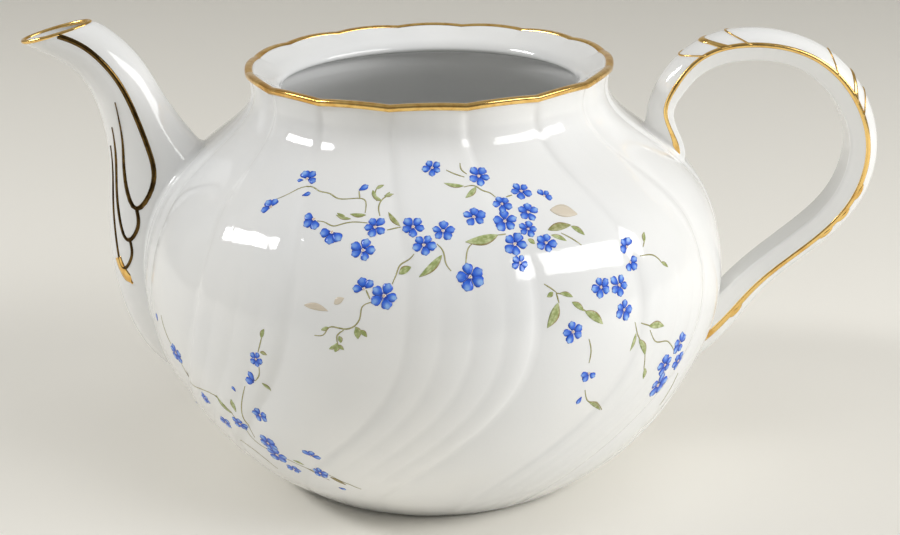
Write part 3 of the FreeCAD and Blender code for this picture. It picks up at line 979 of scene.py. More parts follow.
@dataclass(frozen=True)
class Handle:
    """The looped handle: a flat inner face, flaring flanks and a domed back, with gilt edges and cuffs.

    A section gives the reach and height of its inner point and of its outer one, and the dome's share of the
    depth between them.
    """

    form: PotForm
    sections: tuple[tuple[float, ...], ...] = (
        (65.0, 80.0, 52.0, 88.0, 0.84), (69.4, 89.0, 58.4, 95.0, 0.82), (66.2, 98.0, 59.6, 101.0, 0.66),
        (68.6, 104.8, 63.0, 109.0, 0.56), (74.5, 110.8, 71.5, 117.6, 0.44), (88.0, 113.6, 88.0, 121.6, 0.44),
        (101.3, 110.0, 106.0, 116.6, 0.42), (111.6, 98.8, 119.3, 102.1, 0.42),
        (114.4, 89.3, 122.8, 88.5, 0.42), (111.0, 76.0, 118.5, 71.7, 0.42), (101.3, 65.5, 107.4, 59.3, 0.42),
        (86.5, 53.2, 93.0, 47.0, 0.42), (76.5, 43.0, 80.0, 31.3, 0.42), (66.0, 36.0, 62.0, 18.0, 0.42),
    )
    width: float = 12.0
    nominal_depth: float = 8.0
    flank_share: float = 0.58
    inner_share: float = 0.84
    rounding: int = 9
    dome_samples: int = 60
    profile_samples: int = 480
    columns: int = 120
    rows: int = 260
    sink: float = 1.2
    root_reach: float = 0.25
    root_tries: int = 400
    root_step: float = 0.4
    gilt_root: float = 0.25
    gilt_columns: int = 7
    bead_fall: float = 0.96
    edge_half_width: float = 0.72
    edge_crown: float = 0.18
    edge_rows: int = 220
    cuff_bow: float = 5.4
    cuff_crown: float = 0.3
    cuff_waist: float = 0.5
    cuff_columns: int = 41
    leaf_length: float = 4.6
    leaf_width: float = 1.7
    leaf_crown: float = 0.45
    leaf_tip: float = 0.02
    leaf_rows: int = 15
    leaf_columns: int = 9

    @cached_property
    def track(self) -> Spline:
        """Return the sections' values along the curve through the middles of their depth."""
        values = np.array(self.sections)
        return Spline(values, chord_sums(0.5 * (values[:, :2] + values[:, 2:4])))

    @cached_property
    def dome_arc(self) -> tuple[float, float]:
        """Return the dome's arc, whose radius for the half-width a and the rise b is (a^2 + b^2) / 2b.

        Returns:
            The radius, and half the angle that the arc fills, in radians.
        """
        half = 0.5 * self.width
        rise = (1.0 - self.flank_share) * self.nominal_depth
        radius = (half**2 + rise**2) / (2.0 * rise)
        return radius, math.asin(half / radius)

    @property
    def dome_girth(self) -> float:
        """Return the length of the dome's arc, from the back corner to the front corner."""
        radius, angle = self.dome_arc
        return 2.0 * radius * angle

    @cached_property
    def profile(self) -> Array:
        """Return the section's outline.

        It runs from the back corner over the dome to the front corner, down the front flank, along the inner
        face and up the back flank. A running mean along the outline rounds its corners.

        Returns:
            Rows of girth, outward share and side.
        """
        radius, angle = self.dome_arc
        sweep = angle * np.linspace(1.0, -1.0, self.dome_samples)
        rise = radius * np.cos(sweep) - radius + self.nominal_depth
        dome = np.column_stack([rise, radius * np.sin(sweep)])
        inner = self.inner_share * (0.5 * self.width)
        outline = np.concatenate([dome, [(0.0, -inner), (0.0, inner), dome[0]]])
        girth = chord_sums(outline)
        even = np.linspace(0.0, girth[-1], self.profile_samples, endpoint=False)
        points = np.column_stack([np.interp(even, girth, outline[:, axis]) for axis in (0, 1)])
        reach = np.arange(-self.rounding, self.rounding + 1)
        rounded = np.mean([np.roll(points, shift, axis=0) for shift in reach], axis=0)
        return np.column_stack([even, rounded[:, 0] / self.nominal_depth, rounded[:, 1]])

    @cached_property
    def whole_girth(self) -> float:
        """Return the length once round the section."""
        return self.profile[-1, 0] + self.profile[1, 0]

    @cached_property
    def girths(self) -> Array:
        """Return the columns' places round the section."""
        return np.linspace(0.0, self.whole_girth, self.columns, endpoint=False)

    def at(self, place: Array, girth: Array) -> Array:
        """Return points of the handle: the inner point, plus a share of the depth outwards, plus the side.

        The profile's share below its corner is stretched to the flank's share of the depth at the place, and
        the rest to the dome's.

        Args:
            place: places along the curve from the upper root.
            girth: lengths round the section from the back corner.

        Returns:
            The points, with their coordinates on a new last axis.
        """
        place, girth = np.broadcast_arrays(place, girth)
        even, shares, sides = self.profile.T
        share = np.interp(girth, even, shares, period=self.whole_girth)
        side = np.interp(girth, even, sides, period=self.whole_girth)
        values = self.track.at(place)
        inner = values[..., :2]
        dome = values[..., 4]
        flank_part = (1.0 - dome) * np.minimum(share, self.flank_share) / self.flank_share
        dome_part = dome * np.maximum(share - self.flank_share, 0.0) / (1.0 - self.flank_share)
        flat = inner + (flank_part + dome_part)[..., None] * (values[..., 2:4] - inner)
        return np.stack([flat[..., 0], side, flat[..., 1]], axis=-1)

    def roots(self, upper: bool, sink: float) -> Array:
        """Return where the handle leaves the body.

        Args:
            upper: whether at the upper root, or at the lower one.
            sink: how far inside the body's surface counts as having left it.

        Returns:
            One place for each column.
        """
        ends = (0.0, self.root_reach) if upper else (1.0, 1.0 - self.root_reach)
        tried = np.linspace(ends[0] * self.track.length, ends[1] * self.track.length, self.root_tries)
        return emerging(self.form, lambda place: self.at(place, self.girths), tried, sink)

    def surface(self) -> Surface:
        """Return the handle as a tube whose two root ends lie inside the body's wall.

        Returns:
            The closed surface.
        """
        start = self.roots(True, self.sink)
        end = self.roots(False, self.sink)
        share = np.linspace(0.0, 1.0, self.rows)[:, None]
        rows = self.at(start + (end - start) * share, self.girths)
        return Surface.tube(rows, self.form.onto(rows[[0, -1]].mean(axis=1), -self.sink))

    def fillet(self, joint: Joint, upper: bool) -> Surface:
        """Return the slip fillet at one root.

        Args:
            joint: the fillet's sizes.
            upper: whether at the upper root, or at the lower one.

        Returns:
            The closed ring.
        """
        places = self.roots(upper, 0.0)
        way = 1.0 if upper else -1.0
        return joint.fillet(lambda place: self.at(place, self.girths), places, self.root_step, way)

    def gilt(self, sheet: Array, lift: Array) -> Surface:
        """Return the closed film of gilding on a sheet of the handle's face, raised by the lift."""
        return Surface.films(raised(sheet, lift)[None], raised(sheet, -self.gilt_root)[None])

    def bead(self, across: Array) -> Array:
        """Return the rounded height sqrt(1 - f q^2) of a gilt line, with q from -1 to 1 across it."""
        return np.sqrt(1.0 - self.bead_fall * across**2)

    def edge(self, front: bool) -> Surface:
        """Return the gilt line along one edge of the dome, from that edge's upper root to its lower one.

        Args:
            front: whether along the front edge, or the back one.

        Returns:
            The closed line.
        """
        corner = self.dome_girth if front else 0.0
        across = np.linspace(-1.0, 1.0, self.gilt_columns)
        roots = (self.roots(upper, 0.0) for upper in (True, False))
        start, end = (np.interp(corner, self.girths, root, period=self.whole_girth) for root in roots)
        place = np.linspace(start, end, self.edge_rows)[:, None]
        sheet = self.at(place, corner + self.edge_half_width * across)
        return self.gilt(sheet, self.edge_crown * self.bead(across))

    def cuff(self, place: float, width: float) -> Surface:
        """Return a gilt band over the dome, bowed to the upper root and widened where it meets the edges.

        With q from -1 to 1 across the dome, the band's middle line lies at place - bow (1 - q^2), and its
        width is the share w + (1 - w) q^6 of the whole, where w is cuff_waist.

        Args:
            place: where the band meets the edges.
            width: the band's width.

        Returns:
            The closed band.
        """
        across = np.linspace(-1.0, 1.0, self.cuff_columns)
        along = np.linspace(-1.0, 1.0, self.gilt_columns)[:, None]
        girth = 0.5 * self.dome_girth * (1.0 + across)
        waist = self.cuff_waist + (1.0 - self.cuff_waist) * across**6
        middle = place - self.cuff_bow * (1.0 - across**2)
        sheet = self.at(middle + 0.5 * width * waist * along, girth)
        return self.gilt(sheet, self.cuff_crown * self.bead(along))

    def leaf(self, place: float) -> Surface:
        """Return a gilt leaf in relief on the dome, at the front edge, and its mirrored one at the back.

        With u from -1 to 1 along a leaf, its half-width is the share sqrt(1 - u^2) of the widest.

        Args:
            place: where the leaf's middle lies along the handle.

        Returns:
            The two closed leaves, as one surface.
        """
        run = np.linspace(-1.0, 1.0, self.leaf_rows)[:, None]
        across = np.linspace(-1.0, 1.0, self.leaf_columns)
        half = 0.5 * self.leaf_width
        spread = half * np.sqrt(np.maximum(1.0 - run**2, self.leaf_tip)) * across
        rise = self.leaf_crown * np.maximum(1.0 - run**2, 0.0) * (1.0 - across**2)
        along = place + 0.5 * self.leaf_length * run
        middles = (self.dome_girth - half, half)
        return Surface.joined(self.gilt(self.at(along, middle + spread), rise) for middle in middles)


@dataclass(frozen=True)
class RimGilding:
    """The gilt lip: a rounded bead that sits on the scalloped land."""

    form: PotForm
    half_width: float = 1.1
    middle_radius: float = 48.7
    sunk: float = 0.35
    roundness: float = 0.75
    columns: int = 20
    rows: int = 320

    def surface(self) -> Surface:
        """Return the ring, whose section is |x/a|^n + |z/b|^n = 1, from below the land to the rim.

        Returns:
            The closed ring.
        """
        angle = circle(self.rows)[:, None]
        turn = circle(self.columns)
        low = self.form.land(angle) - self.sunk
        high = self.form.land(angle) + self.form.lip_gilding_height
        out = np.sign(np.sin(turn)) * np.abs(np.sin(turn)) ** self.roundness
        rise = np.sign(np.cos(turn)) * np.abs(np.cos(turn)) ** self.roundness
        radius = self.middle_radius + self.half_width * out
        return Surface.ring(polar(radius, angle, 0.5 * (low + high) + 0.5 * (high - low) * rise))


@dataclass(frozen=True)
class Bloom:
    """One flower of the transfers: its middle and width in photograph pixels, and how it is drawn."""

    middle: Pixel
    width: float
    pose: Pose = Pose.OPEN
    facing: float = 90.0


@dataclass(frozen=True)
class Leaf:
    """One leaf of the transfers: base, tip and width in pixels, and a tint: 0 olive, 1 brown, 2 tan."""

    base: Pixel
    tip: Pixel
    width: float
    tint: float = 0.2


BLOOMS: tuple[Bloom, ...] = (
    Bloom((432, 168), 18), Bloom((479, 176), 22), Bloom((521, 191), 20),
    Bloom((544, 196), 16, Pose.HALF, 40.0), Bloom((502, 204), 18), Bloom((474, 217), 22),
    Bloom((505, 221), 24), Bloom((528, 212), 20), Bloom((528, 229), 17), Bloom((515, 244), 24),
    Bloom((546, 243), 20), Bloom((520, 263), 17), Bloom((470, 277), 26), Bloom((413, 227), 22),
    Bloom((443, 231), 22), Bloom((424, 245), 22), Bloom((375, 227), 22), Bloom((363, 250), 24),
    Bloom((384, 296), 25), Bloom((364, 289), 21, Pose.HALF, 110.0),
    Bloom((314, 219), 24, Pose.HALF, 230.0), Bloom((332, 232), 25, Pose.HALF, 260.0),
    Bloom((307, 179), 20, Pose.HALF, 60.0), Bloom((304, 180), 14, Pose.BUD, 195.0),
    Bloom((271, 207), 21, Pose.HALF, 150.0), Bloom((358, 191), 22, Pose.BUD, 45.0),
    Bloom((301, 196), 17, Pose.BUD, 25.0), Bloom((627, 247), 19, Pose.HALF, 120.0),
    Bloom((630, 262), 19, Pose.HALF, 300.0), Bloom((601, 287), 20), Bloom((619, 285), 22),
    Bloom((624, 310), 20), Bloom((573, 332), 22), Bloom((589, 373), 19, Pose.HALF, 250.0),
    Bloom((582, 396), 20, Pose.BUD, 250.0), Bloom((680, 343), 22), Bloom((678, 361), 19),
    Bloom((665, 365), 22), Bloom((658, 385), 26), Bloom((158, 322), 16, Pose.BUD, 110.0),
    Bloom((176, 353), 20), Bloom((256, 359), 16), Bloom((255, 382), 24, Pose.SIDE, 160.0),
    Bloom((236, 392), 13, Pose.BUD, 120.0), Bloom((260, 415), 18), Bloom((205, 398), 14),
    Bloom((196, 402), 13, Pose.BUD, 200.0), Bloom((226, 422), 16), Bloom((240, 424), 18),
    Bloom((268, 443), 20), Bloom((277, 455), 24), Bloom((294, 469), 15),
    Bloom((311, 456), 18, Pose.HALF, 60.0), Bloom((320, 473), 17), Bloom((338, 487), 15, Pose.BUD, 320.0),
)
LEAVES: tuple[Leaf, ...] = (
    Leaf((464, 186), (444, 183), 5), Leaf((476, 187), (465, 198), 6), Leaf((498, 235), (465, 242), 11),
    Leaf((442, 255), (418, 277), 8), Leaf((548, 230), (571, 225), 9, 0.5),
    Leaf((571, 226), (585, 235), 6, 0.3), Leaf((551, 235), (567, 241), 5), Leaf((528, 239), (535, 244), 5),
    Leaf((366, 215), (350, 214), 5, 0.35), Leaf((351, 219), (336, 215), 4, 0.35),
    Leaf((400, 226), (389, 212), 5, 0.45), Leaf((399, 274), (411, 267), 8),
    Leaf((558, 303), (547, 328), 10), Leaf((585, 311), (603, 324), 9), Leaf((572, 302), (584, 311), 6),
    Leaf((553, 292), (547, 297), 5), Leaf((560, 293), (573, 297), 5), Leaf((649, 326), (664, 326), 8),
    Leaf((636, 333), (630, 351), 5), Leaf((639, 339), (645, 355), 7), Leaf((645, 368), (643, 379), 5),
    Leaf((231, 413), (216, 395), 6), Leaf((236, 412), (231, 399), 6), Leaf((293, 460), (304, 465), 4),
    Leaf((330, 477), (346, 485), 5, 0.7), Leaf((393, 194), (384, 196), 4, 0.35),
    Leaf((382, 201), (372, 194), 4, 0.35), Leaf((339, 336), (341, 343), 5, 0.35),
    Leaf((355, 327), (361, 335), 5, 0.35), Leaf((644, 242), (644, 232), 5, 0.35),
    Leaf((661, 262), (668, 267), 4, 0.35), Leaf((589, 402), (600, 410), 5, 0.4),
    Leaf((376, 198), (373, 190), 4, 0.3), Leaf((376, 189), (384, 185), 4, 0.3),
    Leaf((385, 198), (390, 192), 3, 0.3), Leaf((345, 216), (337, 213), 3, 0.35),
    Leaf((328, 327), (321, 330), 4, 0.3), Leaf((337, 343), (335, 352), 7, 0.25),
    Leaf((337, 345), (344, 350), 4, 0.3), Leaf((336, 345), (329, 349), 4, 0.3),
    Leaf((356, 328), (358, 339), 7, 0.25), Leaf((360, 330), (367, 337), 5, 0.3),
    Leaf((261, 338), (264, 329), 5, 0.25), Leaf((260, 352), (267, 355), 4, 0.5),
    Leaf((262, 383), (271, 391), 4, 0.3), Leaf((550, 210), (578, 214), 15, 1.9),
    Leaf((304, 305), (328, 311), 7, 1.8), Leaf((334, 304), (344, 298), 7, 1.95),
)
STEMS: tuple[tuple[Pixel, ...], ...] = (
    ((446, 170), (455, 174), (465, 177)), ((460, 163), (461, 169), (467, 174)),
    ((464, 187), (475, 186), (482, 190), (491, 193), (497, 197)), ((506, 197), (512, 195)),
    ((437, 244), (443, 251), (447, 265), (452, 271)), ((473, 243), (469, 247), (466, 258), (465, 268)),
    ((498, 235), (506, 234)), ((561, 233), (571, 238), (582, 245)),
    ((414, 254), (408, 260), (400, 265), (396, 273), (391, 284)),
    ((277, 199), (290, 193), (302, 187), (312, 187), (318, 191), (327, 193), (335, 198), (360, 199),
     (366, 213)),
    ((359, 191), (360, 199)), ((317, 221), (324, 222), (334, 226), (342, 224), (353, 222), (367, 223)),
    ((380, 216), (379, 206), (384, 198), (393, 194)), ((387, 230), (401, 227)),
    ((372, 302), (362, 307), (360, 317), (354, 326), (344, 329), (327, 328), (323, 334), (313, 335)),
    ((344, 330), (337, 336), (338, 345)), ((377, 201), (375, 194), (377, 188)),
    ((258, 352), (260, 344), (262, 336)), ((366, 290), (370, 299)), ((544, 284), (552, 289), (556, 292)),
    ((556, 292), (559, 303)), ((556, 293), (568, 295)), ((581, 308), (587, 312)),
    ((589, 339), (591, 351), (589, 363)), ((640, 256), (655, 256), (664, 265)), ((643, 247), (645, 237)),
    ((635, 322), (637, 332), (641, 342)), ((645, 354), (644, 370)), ((641, 323), (651, 326)),
    ((650, 330), (657, 342), (665, 341), (674, 352)), ((678, 373), (669, 391), (660, 405)),
    ((585, 390), (590, 402), (595, 402), (601, 410)), ((161, 315), (166, 333), (171, 344)),
    ((181, 363), (190, 381), (214, 395), (233, 417), (249, 437), (268, 451), (309, 475)),
    ((259, 367), (259, 375), (255, 381)), ((245, 386), (242, 401), (246, 421), (256, 438)),
    ((240, 440), (257, 452), (276, 468)), ((329, 475), (348, 484), (360, 489)),
)


@dataclass(frozen=True)
class Transfers:
    """The flower transfers: petals, hearts, leaves and stems as thin films of enamel on the glaze."""

    form: PotForm
    camera: PhotoCamera
    seed: int = 11
    lift: float = 0.05
    heart_lift: float = 0.02
    mood_lift: float = 0.01
    sunk: float = 0.08
    petal_run: tuple[float, ...] = (0.0, 0.22, 0.48, 0.72, 0.9, 1.0)
    petal_girth: tuple[float, ...] = (0.18, 0.5, 0.88, 1.0, 0.82, 0.36)
    petal_share: float = 0.38
    petal_start: float = 0.1
    petal_sway: float = 0.09
    petal_lengths: Range = (0.9, 1.08)
    petal_widths: Range = (0.9, 1.12)
    petal_notch: float = 0.1
    petal_columns: int = 4
    side_width: float = 0.8
    bloom_reach: float = 0.56
    heart_share: float = 0.14
    heart_petals: int = 3
    leaf_rows: int = 11
    leaf_columns: int = 5
    leaf_power: float = 0.8
    leaf_girth: Range = (1.15, 0.85)
    leaf_end: float = 0.06
    leaf_bend: float = 0.06
    stem_rows: int = 28
    stem_lift: float = 0.03
    stem_width: float = 0.36
    stem_ends: float = 0.6
    stem_tint: float = 0.55

    def places(self, pixels: Sequence[Pixel]) -> Array:
        """Return rows of angle, length along the outline, and millimetres to a pixel, for pixels."""
        found = self.camera.on_pot(self.form, pixels)
        return np.column_stack([found[:, 0], self.form.run(found[:, 1]), found[:, 2] / self.camera.focal])

    def laid(self, start: Array, side: Array, rise: Array, lift: Array | float) -> Array:
        """Return points laid on the body beside starting places.

        Args:
            start: angle and length along the outline, on the last axis.
            side: millimetres round the body from the start.
            rise: millimetres up the outline from the start.
            lift: distance off the surface.

        Returns:
            The points, with their coordinates on a new last axis.
        """
        height = self.form.height(start[..., 1] + rise)
        angle = start[..., 0] + side / self.form.radius(height)
        return self.form.at(angle, height, lift)

    def films(self, start: Array, side: Array, rise: Array, lift: Array | float, **values: Array) -> Surface:
        """Return closed films laid on the body, sunk a little into it; see laid and Surface.films."""
        top = self.laid(start, side, rise, lift)
        return Surface.films(top, self.laid(start, side, rise, -self.sunk), **values)

    def petal_table(self) -> Array:
        """Return one row for each petal and heart.

        Returns:
            Rows of angle, length along the outline, aim, start, length, half-width, mood and heart mask.
        """
        draws = np.random.default_rng(self.seed)
        found = self.places([bloom.middle for bloom in BLOOMS])
        rows = []
        for bloom, (angle, run, scale) in zip(BLOOMS, found):
            count, arc = bloom.pose.value
            reach = self.bloom_reach * bloom.width * scale
            turn = math.radians(bloom.facing)
            if bloom.pose is Pose.OPEN:
                turn = draws.uniform(0.0, 2.0 * math.pi)
            step = math.radians(arc) / count
            hearted = count >= self.heart_petals
            for petal in range(count):
                aim = turn + (petal - 0.5 * (count - 1)) * step + draws.normal(0.0, self.petal_sway)
                length = reach * draws.uniform(*self.petal_lengths)
                girth = self.petal_share * length * draws.uniform(*self.petal_widths)
                girth *= 1.0 if hearted else self.side_width
                start = self.petal_start * length
                rows.append((angle, run, aim, start, length - start, girth, draws.uniform(0.0, 1.0), 0.0))
            if hearted:
                heart = self.heart_share * reach
                rows.append((angle, run, turn, -heart, 2.0 * heart, heart, draws.uniform(0.0, 1.0), 1.0))
        return np.array(rows)

    def petals(self) -> Surface:
        """Return all petals and hearts as films.

        A petal runs along its own direction d: side = u L cos d - w sin d, rise = u L sin d + w cos d, with u
        along its length L and w across it. A heart is a small round patch over the middle of a flower.

        Returns:
            The closed films, with their places along and across, moods and heart masks.
        """
        columns = np.moveaxis(self.petal_table()[:, None, None, :], -1, 0)
        angle, run, aim, start, length, girth, mood, heart = columns
        along = np.array(self.petal_run)[:, None]
        across = np.linspace(-1.0, 1.0, self.petal_columns)
        spread = girth * np.array(self.petal_girth)[:, None] * across
        notch = self.petal_notch * length * along * across**2 * (1.0 - heart)
        ahead = start + along * length - notch
        side = ahead * np.cos(aim) - spread * np.sin(aim)
        rise = ahead * np.sin(aim) + spread * np.cos(aim)
        lift = self.lift + self.heart_lift * heart + self.mood_lift * mood
        place = np.stack([angle, run], axis=-1)
        return self.films(place, side, rise, lift, along=along, across=across, mood=mood, heart=heart)

    def leaves(self) -> Surface:
        """Return all leaves as films: lenses from base to tip, bent a little aside.

        With u from base to tip the half-width is w sin(pi u)^p, times a girth that falls evenly.

        Returns:
            The closed films, with their places along and across, and tints.
        """
        base = self.places([leaf.base for leaf in LEAVES])
        tip = self.places([leaf.tip for leaf in LEAVES])
        width = np.array([leaf.width for leaf in LEAVES]) * base[:, 2]
        tint = np.array([leaf.tint for leaf in LEAVES])[:, None, None]
        radius = self.form.radius(self.form.height(base[:, 1]))
        reach = np.column_stack([(tip[:, 0] - base[:, 0]) * radius, tip[:, 1] - base[:, 1]])
        along = np.linspace(0.0, 1.0, self.leaf_rows)[:, None]
        across = np.linspace(-1.0, 1.0, self.leaf_columns)
        arch = np.sin(math.pi * along)
        girth = np.linspace(*self.leaf_girth, self.leaf_rows)[:, None]
        profile = np.maximum(arch**self.leaf_power * girth, self.leaf_end)
        ahead = unit(reach)[:, :, None, None]
        length = np.linalg.norm(reach, axis=1)[:, None, None]
        spread = 0.5 * width[:, None, None] * profile * across + self.leaf_bend * length * arch
        side = along * length * ahead[:, 0] - spread * ahead[:, 1]
        rise = along * length * ahead[:, 1] + spread * ahead[:, 0]
        place = base[:, None, None, :]
        return self.films(place, side, rise, self.lift, along=along, across=across, tint=tint)

    def stems(self) -> Surface:
        """Return all stems as ribbons along curves through their places, thinner at their ends.

        Returns:
            The closed films, with their places along and across, and tints.
        """
        parts = []
        along = np.linspace(0.0, 1.0, self.stem_rows)[:, None]
        girth = self.stem_ends + (1.0 - self.stem_ends) * np.sin(math.pi * along)
        spread = 0.5 * self.stem_width * girth * AROUND
        values = {"along": along, "across": AROUND, "tint": self.stem_tint}
        for stem in STEMS:
            found = self.places(stem)
            first = found[0]
            radius = self.form.radius(self.form.height(first[1]))
            path = Spline(np.column_stack([(found[:, 0] - first[0]) * radius, found[:, 1] - first[1]]))
            line = path.even(self.stem_rows)
            ahead = unit(np.gradient(line, axis=0))
            side = line[:, :1] - spread * ahead[:, 1:]
            rise = line[:, 1:] + spread * ahead[:, :1]
            parts.append(self.films(first, side[None], rise[None], self.stem_lift, **values))
        return Surface.joined(parts)


class Nodes:
    """Adds and links the nodes of one shader tree."""

    def __init__(self, tree: bpy.types.NodeTree) -> None:
        """Take the tree that the nodes go into."""
        self.tree = tree

    def add(self, kind: str, settings: dict[str, object] | None = None, **inputs: object) -> bpy.types.Node:
        """Add a node.

        Args:
            kind: the node's Blender type.
            settings: properties of the node itself.
            inputs: values or sockets for its inputs, by name with underscores for spaces, or i0, i1 by place.

        Returns:
            The node.
        """
        node = self.tree.nodes.new(kind)
        for name, value in (settings or {}).items():
            setattr(node, name, value)
        for name, value in inputs.items():
            key = int(name[1:]) if name[0] == "i" and name[1:].isdigit() else name.replace("_", " ")
            if isinstance(value, Socket):
                self.tree.links.new(value, node.inputs[key])
            else:
                node.inputs[key].default_value = value
        return node

    def math(self, operation: str, *inputs: object, clamp: bool = False) -> Socket:
        """Add a Math node.

        Args:
            operation: what the node does.
            inputs: values or sockets, in their order.
            clamp: whether the result is held between 0 and 1.

        Returns:
            The node's output.
        """
        settings = {"operation": operation, "use_clamp": clamp}
        places = {f"i{place}": value for place, value in enumerate(inputs)}
        return self.add("ShaderNodeMath", settings, **places).outputs[0]

    def times(self, first: object, second: object, clamp: bool = False) -> Socket:
        """Return the product of two values."""
        return self.math("MULTIPLY", first, second, clamp=clamp)

    def step(self, value: object, bounds: Range) -> Socket:
        """Ease a value from 0 at a lower bound to 1 at an upper one.

        Args:
            value: a value or a socket.
            bounds: the lower and the upper bound.

        Returns:
            The eased value.
        """
        settings = {"interpolation_type": "SMOOTHSTEP"}
        low, high = bounds
        return self.add("ShaderNodeMapRange", settings, Value=value, From_Min=low, From_Max=high).outputs[0]

    def fall(self, value: object, bounds: Range) -> Socket:
        """Return a value eased from 1 at the lower bound to 0 at the upper one."""
        return self.math("SUBTRACT", 1.0, self.step(value, bounds))

    def mix(self, share: object, first: object, second: object) -> Socket:
        """Return two colours mixed by a share."""
        return self.add("ShaderNodeMix", {"data_type": "RGBA"}, i0=share, i6=first, i7=second).outputs[2]

    def attribute(self, name: str) -> Socket:
        """Return the value of a mesh attribute."""
        return self.add("ShaderNodeAttribute", {"attribute_name": name}).outputs["Fac"]

    def noise(self, scale: float, detail: float) -> Socket:
        """Return noise on Object coordinates."""
        place = self.add("ShaderNodeTexCoord").outputs["Object"]
        return self.add("ShaderNodeTexNoise", Vector=place, Scale=scale, Detail=detail).outputs[0]


def srgb(red: float, green: float, blue: float) -> Colour:
    """Return a display colour as linear values: c/12.92, or ((c + 0.055)/1.055)^2.4 above 0.04045.

    Args:
        red: the red part, from 0 to 255.
        green: the green part, likewise.
        blue: the blue part, likewise.

    Returns:
        The linear colour, with an alpha of 1.
    """
    shown = np.array([red, green, blue]) / 255.0
    linear = np.where(shown <= 0.04045, shown / 12.92, ((shown + 0.055) / 1.055) ** 2.4)
    return (*(float(part) for part in linear), 1.0)


@dataclass(frozen=True)
class FiredSkin:
    """Shared skin of fired surfaces: a slow ripple, fine pits, mottled tone and handling haze.

    Each noise is a scale and a detail.
    """

    ripple: Range = (38.0, 1.0)
    pits: Range = (900.0, 2.0)
    mottle: Range = (16.0, 4.0)
    haze: Range = (48.0, 4.0)
    haze_bounds: Range = (0.42, 0.7)

    def group(self) -> bpy.types.NodeTree:
        """Build the node group once, with a Height, a Mottle and a Haze that vary over the surface.

        Returns:
            The group.
        """
        name = "fired_skin"
        if name in bpy.data.node_groups:
            return bpy.data.node_groups[name]
        tree = bpy.data.node_groups.new(name, "ShaderNodeTree")
        for way, sockets in (("INPUT", ("Ripple", "Pits")), ("OUTPUT", ("Height", "Mottle", "Haze"))):
            for socket in sockets:
                tree.interface.new_socket(name=socket, in_out=way, socket_type="NodeSocketFloat")
        nodes = Nodes(tree)
        given = nodes.add("NodeGroupInput").outputs
        ripple = nodes.times(nodes.noise(*self.ripple), given["Ripple"])
        pits = nodes.times(nodes.noise(*self.pits), given["Pits"])
        nodes.add(
            "NodeGroupOutput",
            Height=nodes.math("ADD", ripple, pits),
            Mottle=nodes.noise(*self.mottle),
            Haze=nodes.step(nodes.noise(*self.haze), self.haze_bounds),
        )
        return tree


@dataclass(frozen=True)
class Finish:
    """What all finishes share: a Principled shader, and the fired skin with this finish's own strengths."""

    name: str
    roughness: Range
    ripple: float
    pits: float
    metallic: float = 0.0
    coat: float = 0.0
    coat_roughness: float = 0.04
    bump: float = 0.0004

    def material(self) -> Material:
        """Make the finish's material.

        Returns:
            The material.
        """
        made = bpy.data.materials.new(self.name)
        made.use_nodes = True
        made.node_tree.nodes.clear()
        nodes = Nodes(made.node_tree)
        group = {"node_tree": FiredSkin().group()}
        skin = nodes.add("ShaderNodeGroup", group, Ripple=self.ripple, Pits=self.pits).outputs
        low, high = self.roughness
        bump = nodes.add("ShaderNodeBump", Height=skin["Height"], Strength=1.0, Distance=self.bump)
        shader = nodes.add(
            "ShaderNodeBsdfPrincipled",
            Base_Color=self.colour(nodes, skin["Mottle"]),
            Roughness=nodes.math("MULTIPLY_ADD", skin["Haze"], high - low, low),
            Normal=bump.outputs["Normal"],
            Metallic=self.metallic,
            Coat_Weight=self.coat,
            Coat_Roughness=self.coat_roughness,
        )
        nodes.add("ShaderNodeOutputMaterial", Surface=shader.outputs["BSDF"])
        return made

    def colour(self, nodes: Nodes, mottle: Socket) -> Socket:
        """Return the socket that colours the finish."""
        raise NotImplementedError


@dataclass(frozen=True)
class Porcelain(Finish):
    """White glazed porcelain, a little cooler where the glaze lies thick."""

    thin: Colour = srgb(248, 248, 246)
    thick: Colour = srgb(242, 243, 243)
    pooling: Range = (0.35, 0.65)

    def colour(self, nodes: Nodes, mottle: Socket) -> Socket:
        """Return the two whites mixed by the mottle."""
        return nodes.mix(nodes.step(mottle, self.pooling), self.thin, self.thick)


@dataclass(frozen=True)
class Gold(Finish):
    """Burnished gilding, redder and duller where it is rubbed thin."""

    bright: Colour = srgb(250, 210, 130)
    rubbed: Colour = srgb(226, 174, 92)
    grain: Range = (420.0, 3.0)
    grain_share: float = 0.5
    rubbing: Range = (0.42, 0.62)

    def colour(self, nodes: Nodes, mottle: Socket) -> Socket:
        """Mix the two golds by the mottle and a finer noise.

        Args:
            nodes: the material's nodes.
            mottle: the skin's mottle.

        Returns:
            The socket of the colour.
        """
        grain = nodes.times(nodes.noise(*self.grain), self.grain_share)
        wear = nodes.math("ADD", grain, nodes.times(mottle, 1.0 - self.grain_share))
        return nodes.mix(nodes.step(wear, self.rubbing), self.bright, self.rubbed)


